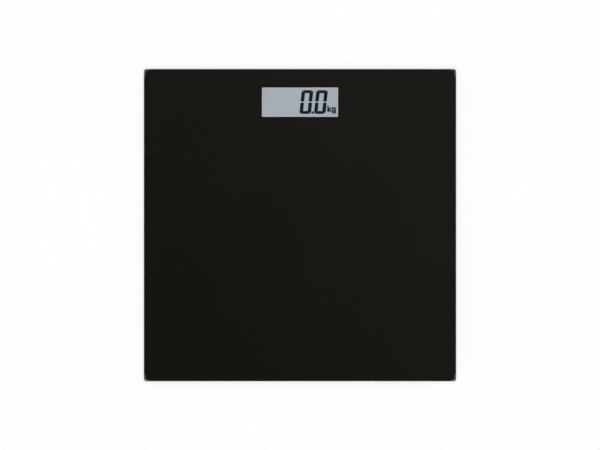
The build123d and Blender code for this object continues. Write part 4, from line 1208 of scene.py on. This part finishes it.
@dataclass
class Display(Assembly):
    """The display: its clamped stack of panes, its pale background and the reading that shows on it."""

    face: float = 17.4
    ink_thickness: float = 0.015
    digit_width: float = 11.2
    digit_height: float = 22.8
    upright: float = 3.45
    crossbar: float = 2.8
    outer_round: float = 2.4
    outer_steps: int = 5
    break_width: float = 0.85
    end_round: float = 1.1
    hair: float = 0.16
    slant: float = 6.0
    digit_x: Pair = (6.1, 20.15)
    digit_y: float = 118.41
    point_size: Pair = (2.3, 2.1)
    point_round: float = 0.3
    point_at: Pair = (12.15, 108.29)
    small_steps: int = 3
    letter_stroke: float = 1.45
    k_size: Pair = (3.85, 6.2)
    k_at: Pair = (28.175, 111.85)
    k_rise: float = 1.6
    g_size: Pair = (4.1, 6.15)
    g_at: Pair = (32.55, 110.425)
    g_round: float = 1.1
    g_steps: int = 4
    g_tail: float = 1.75
    g_gap: float = 0.4

    def build(self) -> None:
        """Dresses the stack and models the reading."""
        self.dress(Finishes.FOAM, "lcd_gasket")
        self.dress(Finishes.FRAME, "lcd_frame")
        self.dress(Finishes.GROUND, "lcd_polariser")
        self.dress(Finishes.PANE, "lcd_front_glass", "lcd_rear_glass")
        self.dress(Finishes.FILM, "lcd_reflector")
        self.dress(Finishes.RUBBER, "zebra_strip_upper", "zebra_strip_lower")
        self.dress(Finishes.SCREW, "lcd_frame_screws")
        places = zip(("left", "right"), self.digit_x)
        noughts = [self.nought(f"display_digit_{side}", x) for side, x in places]
        for piece in (*noughts, self.point(), self.letter_k(), self.letter_g()):
            self.keep(piece, Finishes.SEGMENT, Body.SCALE, "display_film")

    def print_on(self, draft: Draft, x: float, y: float) -> Piece:
        """Makes a flat draft a thin coat of ink on the display, with its middle at x and y."""
        draft.pull(self.ink_thickness)
        return draft.settle((x, y, self.face))

    def nought(self, name: str, x: float) -> Piece:
        """Models a nought of six bars with hairline gaps, leaning as the display's digits do.

        Args:
            name: Name of the piece.
            x: Where its middle goes along X, in millimetres.

        Returns:
            The nought, on the display.
        """
        digit = Draft.sheet(name, self.digit_width, self.digit_height)
        digit.round_corners(self.outer_round, self.outer_steps)
        inner_x, inner_y = self.digit_width / 2 - self.upright, self.digit_height / 2 - self.crossbar
        for side in (-1, 1):
            digit.cut((side * inner_x, 0, 0), ALONG_X)
            digit.cut((0, side * inner_y, 0), ALONG_Y)
            digit.cut((0, side * self.break_width / 2, 0), ALONG_Y)
        digit.drop(lambda c: abs(c.x) < inner_x and abs(c.y) < inner_y)
        digit.drop(lambda c: abs(c.y) < self.break_width / 2)
        for side_x in (-1, 1):
            for side_y in (-1, 1):
                self.mitre(digit, side_x, side_y, inner_x, inner_y)
        digit.merge_flat()
        digit.take(Element.POINT, lambda point: abs(point.co.y) < self.break_width * MM)
        digit.round_corners(self.end_round, self.small_steps)
        digit.lean(self.slant)
        return self.print_on(digit, x, self.digit_y)

    def mitre(self, digit: Draft, side_x: int, side_y: int, inner_x: float, inner_y: float) -> None:
        """Opens the hairline gap across one corner of a digit.

        Args:
            digit: The digit.
            side_x: Side of the corner along X.
            side_y: Side of the corner along Y.
            inner_x: Half the width of the digit's opening.
            inner_y: Half the height of the digit's opening.
        """
        across = Vector((side_y, -side_x, 0)).normalized()
        heart = Vector((side_x * inner_x, side_y * inner_y, 0))
        for edge in (-1, 1):
            digit.cut(tuple(heart + across * edge * self.hair / 2), tuple(across))

        def in_gap(centre: Vector) -> bool:
            """Whether a face lies in this corner's gap."""
            in_corner = side_x * centre.x > inner_x - self.hair and side_y * centre.y > inner_y - self.hair
            return in_corner and abs((centre - heart).dot(across)) < self.hair / 2

        digit.drop(in_gap)

    def point(self) -> Piece:
        """Models the decimal point.

        Returns:
            The point, on the display.
        """
        dot = Draft.sheet("display_point", *self.point_size)
        dot.round_corners(self.point_round, self.small_steps)
        return self.print_on(dot, *self.point_at)

    def letter_k(self) -> Piece:
        """Models the letter k of the unit: a stem, and two arms that spread from a knot on it.

        Returns:
            The letter, on the display.
        """
        (width, height), stroke = self.k_size, self.letter_stroke
        letter = Draft.sheet("display_unit_k", width, height)
        stem = stroke - width / 2
        arms_top = height / 2 - self.k_rise
        reach = (arms_top + height / 2) / 2
        knot = Vector((stem, arms_top - reach, 0))
        across = [Vector((side * reach, stem - width / 2, 0)).normalized() for side in (-1, 1)]
        letter.cut((stem, 0, 0), ALONG_X)
        letter.cut((0, arms_top, 0), ALONG_Y)
        for normal in across:
            for edge in (-1, 1):
                letter.cut(tuple(knot + normal * edge * stroke / 2), tuple(normal))

        def in_arm(centre: Vector) -> bool:
            """Whether a face lies in one of the two arms."""
            near = any(abs((centre - knot).dot(normal)) < stroke / 2 for normal in across)
            return near and centre.y < arms_top

        letter.drop(lambda c: c.x > stem and not in_arm(c))
        letter.merge_flat()
        return self.print_on(letter, *self.k_at)

    def letter_g(self) -> Piece:
        """Models the letter g of the unit: a closed bowl, and a tail that turns back under it.

        Returns:
            The letter, on the display.
        """
        (width, height), stroke = self.g_size, self.letter_stroke
        letter = Draft.sheet("display_unit_g", width, height)
        letter.round_corners(self.g_round, self.g_steps)
        inner = width / 2 - stroke
        bowl_foot = self.g_tail - height / 2
        bowl = (bowl_foot + stroke, height / 2 - stroke)
        gap = (bowl_foot - self.g_gap, bowl_foot)
        for x in (-inner, inner):
            letter.cut((x, 0, 0), ALONG_X)
        for y in (*bowl, *gap):
            letter.cut((0, y, 0), ALONG_Y)
        letter.drop(lambda c: abs(c.x) < inner and bowl[0] < c.y < bowl[1])
        letter.drop(lambda c: c.x < inner and gap[0] < c.y < gap[1])
        letter.merge_flat()
        return self.print_on(letter, *self.g_at)


@dataclass
class Underside(Assembly):
    """A part that faces the floor and carries raised marks, to be read from below."""

    underside: float = 4.0
    mark_proud: float = 0.2
    mark_rooted: float = 0.1

    def raise_mark(self, mark: Draft, y: float, body: Body) -> None:
        """Raises a mark on the underside and takes it into the model.

        Args:
            mark: The flat draft of the mark.
            y: Where its middle goes along Y, in millimetres.
            body: The body that it moves with.
        """
        mark.pull(self.mark_proud + self.mark_rooted)
        piece = mark.settle((0, y, self.underside + self.mark_rooted), FACE_DOWN)
        self.keep(piece, Finishes.MARK, body, "tray_plastic")


@dataclass
class Base(Underside):
    """The moulded tray with the unit button and the marking beside it."""

    unit_size: Pair = (14.0, 4.6)
    unit_y: float = 76.5

    def build(self) -> None:
        """Dresses the tray and its button, and models the raised unit marking."""
        self.dress(Finishes.TRAY, "base_tray")
        self.dress(Finishes.SCREW, "holder_screws")
        self.dress(Finishes.BUTTON, "unit_button")
        self.raise_mark(Draft.words("unit_marking", "kg/lb", self.unit_size), self.unit_y, Body.SCALE)


@dataclass
class Feet(Assembly):
    """The four feet with their rubber pads, and the load cells that they press on."""

    def build(self) -> None:
        """Dresses each corner."""
        for corner in Corner:
            self.dress(Finishes.FOOT, f"foot_{corner.value}")
            self.dress(Finishes.PAD, f"foot_pad_{corner.value}")
            self.dress(Finishes.LOAD_CELL, f"load_cell_{corner.value}")
            self.dress(Finishes.SILICONE, f"strain_gauge_{corner.value}")
            self.dress(Finishes.HOLDER, f"cell_holder_{corner.value}")
            self.dress(Finishes.SLEEVE, f"cell_lead_{corner.value}")


@dataclass
class Electronics(Assembly):
    """The circuit board with what is soldered to it."""

    def build(self) -> None:
        """Dresses the board and its parts."""
        self.dress(Finishes.BOARD, "circuit_board")
        self.dress(Finishes.SCREW, "board_screws")
        self.dress(Finishes.RESIN, "controller_chip")
        self.dress(Finishes.COMPONENT, "board_components")
        self.dress(Finishes.SWITCH, "unit_switch")
        self.dress(Finishes.PLUNGER, "switch_plunger")


@dataclass
class BatteryBay(Underside):
    """The battery bay: two cells, their contacts and the hinged door."""

    arrow_size: Pair = (7.0, 4.0)
    arrow_round: float = 0.4
    arrow_steps: int = 3
    arrow_y: float = 47.5
    words_size: Pair = (17.0, 3.2)
    words_y: float = 40.0

    def build(self) -> None:
        """Dresses the cells and contacts, and models the raised marks on the door."""
        for name, way in (("battery_upper", 1), ("battery_lower", -1)):
            low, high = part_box(name)
            end = (high.x if way > 0 else low.x) / MM
            self.dress(CellSleeve(f"{name}_sleeve", nub_end=end, way=way), name)
        self.dress(Finishes.NICKEL, "contact_positive", "contact_negative", "contact_bridge")
        self.dress(Finishes.NICKEL, "contact_springs")
        self.dress(Finishes.SLEEVE, "battery_lead")
        self.dress(Finishes.TRAY, "battery_door")
        self.raise_mark(self.arrow(), self.arrow_y, Body.DOOR)
        self.raise_mark(Draft.words("door_marking", "2 x AAA", self.words_size), self.words_y, Body.DOOR)

    def arrow(self) -> Draft:
        """Models the arrow that points to the door's catch.

        Returns:
            The flat draft of the arrow.
        """
        width, height = self.arrow_size
        arrow = Draft.sheet("door_arrow", width, height)
        for side in (-1, 1):
            slope = Vector((side * height, width / 2, 0)).normalized()
            arrow.cut((0, height / 2, 0), tuple(slope), part=True)
        arrow.round_corners(self.arrow_round, self.arrow_steps)
        return arrow


# Studio


@dataclass(frozen=True)
class Lamp:
    """A soft panel lamp that looks at the object. Gloss and glass show it only if it is mirrored."""

    name: str
    place: Triple
    size: Pair
    power: float
    mirrored: bool = True

    def light(self) -> None:
        """Hangs the lamp."""
        data = bpy.data.lights.new(self.name, "AREA")
        data.shape = "RECTANGLE"
        data.size, data.size_y = self.size
        data.energy = self.power
        lamp = bpy.data.objects.new(self.name, data)
        bpy.context.scene.collection.objects.link(lamp)
        lamp.location = self.place
        lamp.rotation_euler = (-Vector(self.place)).to_track_quat("-Z", "Y").to_euler()
        lamp.visible_glossy = self.mirrored
        lamp.visible_transmission = self.mirrored
        LOG.info("lamp %s", self.name)


@dataclass
class Studio:
    """The plain white studio: floor, world, lamps and camera.

    Heights in the world are those of the direction of view, from 0 at the horizon to 1 overhead.
    """

    floor_half: float = 6.0
    floor_white: float = 0.98
    floor_glow: float = 0.68
    glow_range: Pair = (0.35, 1.2)
    wall_range: Pair = (0.05, 0.85)
    wall_fade: float = 2.2
    ceiling_range: Pair = (0.9, 0.98)
    ceiling_tones: Pair = (0.005, 0.115)
    ceiling_lean: float = 0.15
    ceiling_least: float = 0.02
    fill: float = 0.08
    lens: float = 135.0
    sensor: float = 36.0
    clip: Pair = (0.01, 50.0)
    distance: float = 2.1602
    platform_top: float = 0.024
    camera_ahead: float = 0.00012
    lamps: tuple[Lamp, ...] = (
        Lamp("top_panel", (0.0, 0.0, 2.7), (1.3, 1.3), 65.0, mirrored=False),
        Lamp("left_panel", (-1.7, -0.4, 1.5), (0.9, 1.2), 4.0),
        Lamp("right_panel", (1.7, 0.6, 1.5), (0.9, 1.2), 4.0),
        Lamp("under_key", (-1.2, 1.0, -1.1), (0.8, 0.8), 39.0, mirrored=False),
        Lamp("under_fill", (0.6, -0.5, -1.6), (1.6, 1.6), 10.0, mirrored=False),
    )

    def build(self) -> None:
        """Sets up the whole studio."""
        self.lay_floor()
        self.paint_world()
        for lamp in self.lamps:
            lamp.light()
        self.set_camera()
        bpy.context.scene.view_settings.view_transform = "Standard"

    @staticmethod
    def seen(wire: Tree) -> Socket:
        """Finds out whether a ray shows the background: one from the camera, a mirror or through glass.

        Args:
            wire: The tree of a floor or world.

        Returns:
            1 for such a ray, and 0 for the others.
        """
        path = wire.add("LightPath").outputs
        mirrored = wire.math(path["Is Camera Ray"], Op.MOST, path["Is Glossy Ray"])
        return wire.math(mirrored, Op.MOST, path["Is Transmission Ray"])

    def lay_floor(self) -> None:
        """Lays the white floor, which keeps the object's shadow, fades out and can't be seen from below."""
        clear_bench()
        bpy.ops.mesh.primitive_plane_add(size=2 * self.floor_half, location=ORIGIN)
        floor = bpy.context.object
        floor.name = "studio_floor"
        material = bpy.data.materials.new("studio_floor")
        material.use_nodes = True
        wire = Tree(material.node_tree)
        white = (self.floor_white, self.floor_white, self.floor_white, 1.0)
        plain = wire.add("BsdfDiffuse", Color=white)
        glow = wire.add("Emission", Color=WHITE_LIGHT, Strength=1.0)
        share = wire.spread(wire.length(wire.place()), self.floor_glow, 1.0, *self.glow_range)
        lit = wire.blend(wire.math(self.seen(wire), Op.TIMES, share), plain, glow)
        behind = wire.add("NewGeometry").outputs["Backfacing"]
        shadow = wire.add("LightPath").outputs["Is Shadow Ray"]
        hidden = wire.math(behind, Op.MOST, shadow)
        ends = wire.blend(hidden, lit, wire.add("BsdfTransparent"))
        wire.add("OutputMaterial", Surface=ends.outputs["Shader"])
        floor.data.materials.append(material)

    def paint_world(self) -> None:
        """Paints the room: white walls, and a dark ceiling whose middle is a little lighter to one side."""
        world = bpy.data.worlds.new("white_studio")
        bpy.context.scene.world = world
        world.use_nodes = True
        wire = Tree(world.node_tree)
        way = wire.axes("Generated")
        walls = wire.math(wire.spread(way["Z"], 1.0, 0.0, *self.wall_range), Op.POWER, self.wall_fade)
        lean = wire.math(way["X"], Op.PLUS, way["Y"])
        overhead = wire.spread(way["Z"], 0.0, 1.0, *self.ceiling_range)
        tone = wire.spread(lean, *self.ceiling_tones, -self.ceiling_lean, self.ceiling_lean)
        ceiling = wire.math(wire.math(overhead, Op.TIMES, tone), Op.MOST, self.ceiling_least)
        room = wire.math(walls, Op.MOST, ceiling)
        straight = wire.add("LightPath").outputs["Is Camera Ray"]
        shown = wire.add("Background", Color=WHITE_LIGHT, Strength=wire.math(room, Op.MOST, straight))
        filled = wire.add("Background", Color=WHITE_LIGHT, Strength=self.fill)
        both = wire.blend(self.seen(wire), filled, shown)
        wire.add("OutputWorld", Surface=both.outputs["Shader"])

    def set_camera(self) -> None:
        """Hangs the camera straight above the platform, as the photograph was taken."""
        data = bpy.data.cameras.new("camera")
        data.lens = self.lens
        data.sensor_width = self.sensor
        data.clip_start, data.clip_end = self.clip
        camera = bpy.data.objects.new("camera", data)
        bpy.context.scene.collection.objects.link(camera)
        camera.location = (0.0, self.camera_ahead, self.platform_top + self.distance)
        bpy.context.scene.camera = camera


def main() -> None:
    """Builds the scene."""
    logging.basicConfig(level=logging.INFO, format="%(name)s: %(message)s")
    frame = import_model()
    nodes = frame["nodes"]
    for assembly in (Platform, Display, Base, Feet, Electronics, BatteryBay):
        part = assembly(nodes)
        part.build()
        LOG.info("%s: %d new pieces", assembly.__name__, len(part.made))
    Studio().build()
    clear_bench()


if __name__ == "__main__":
    main()
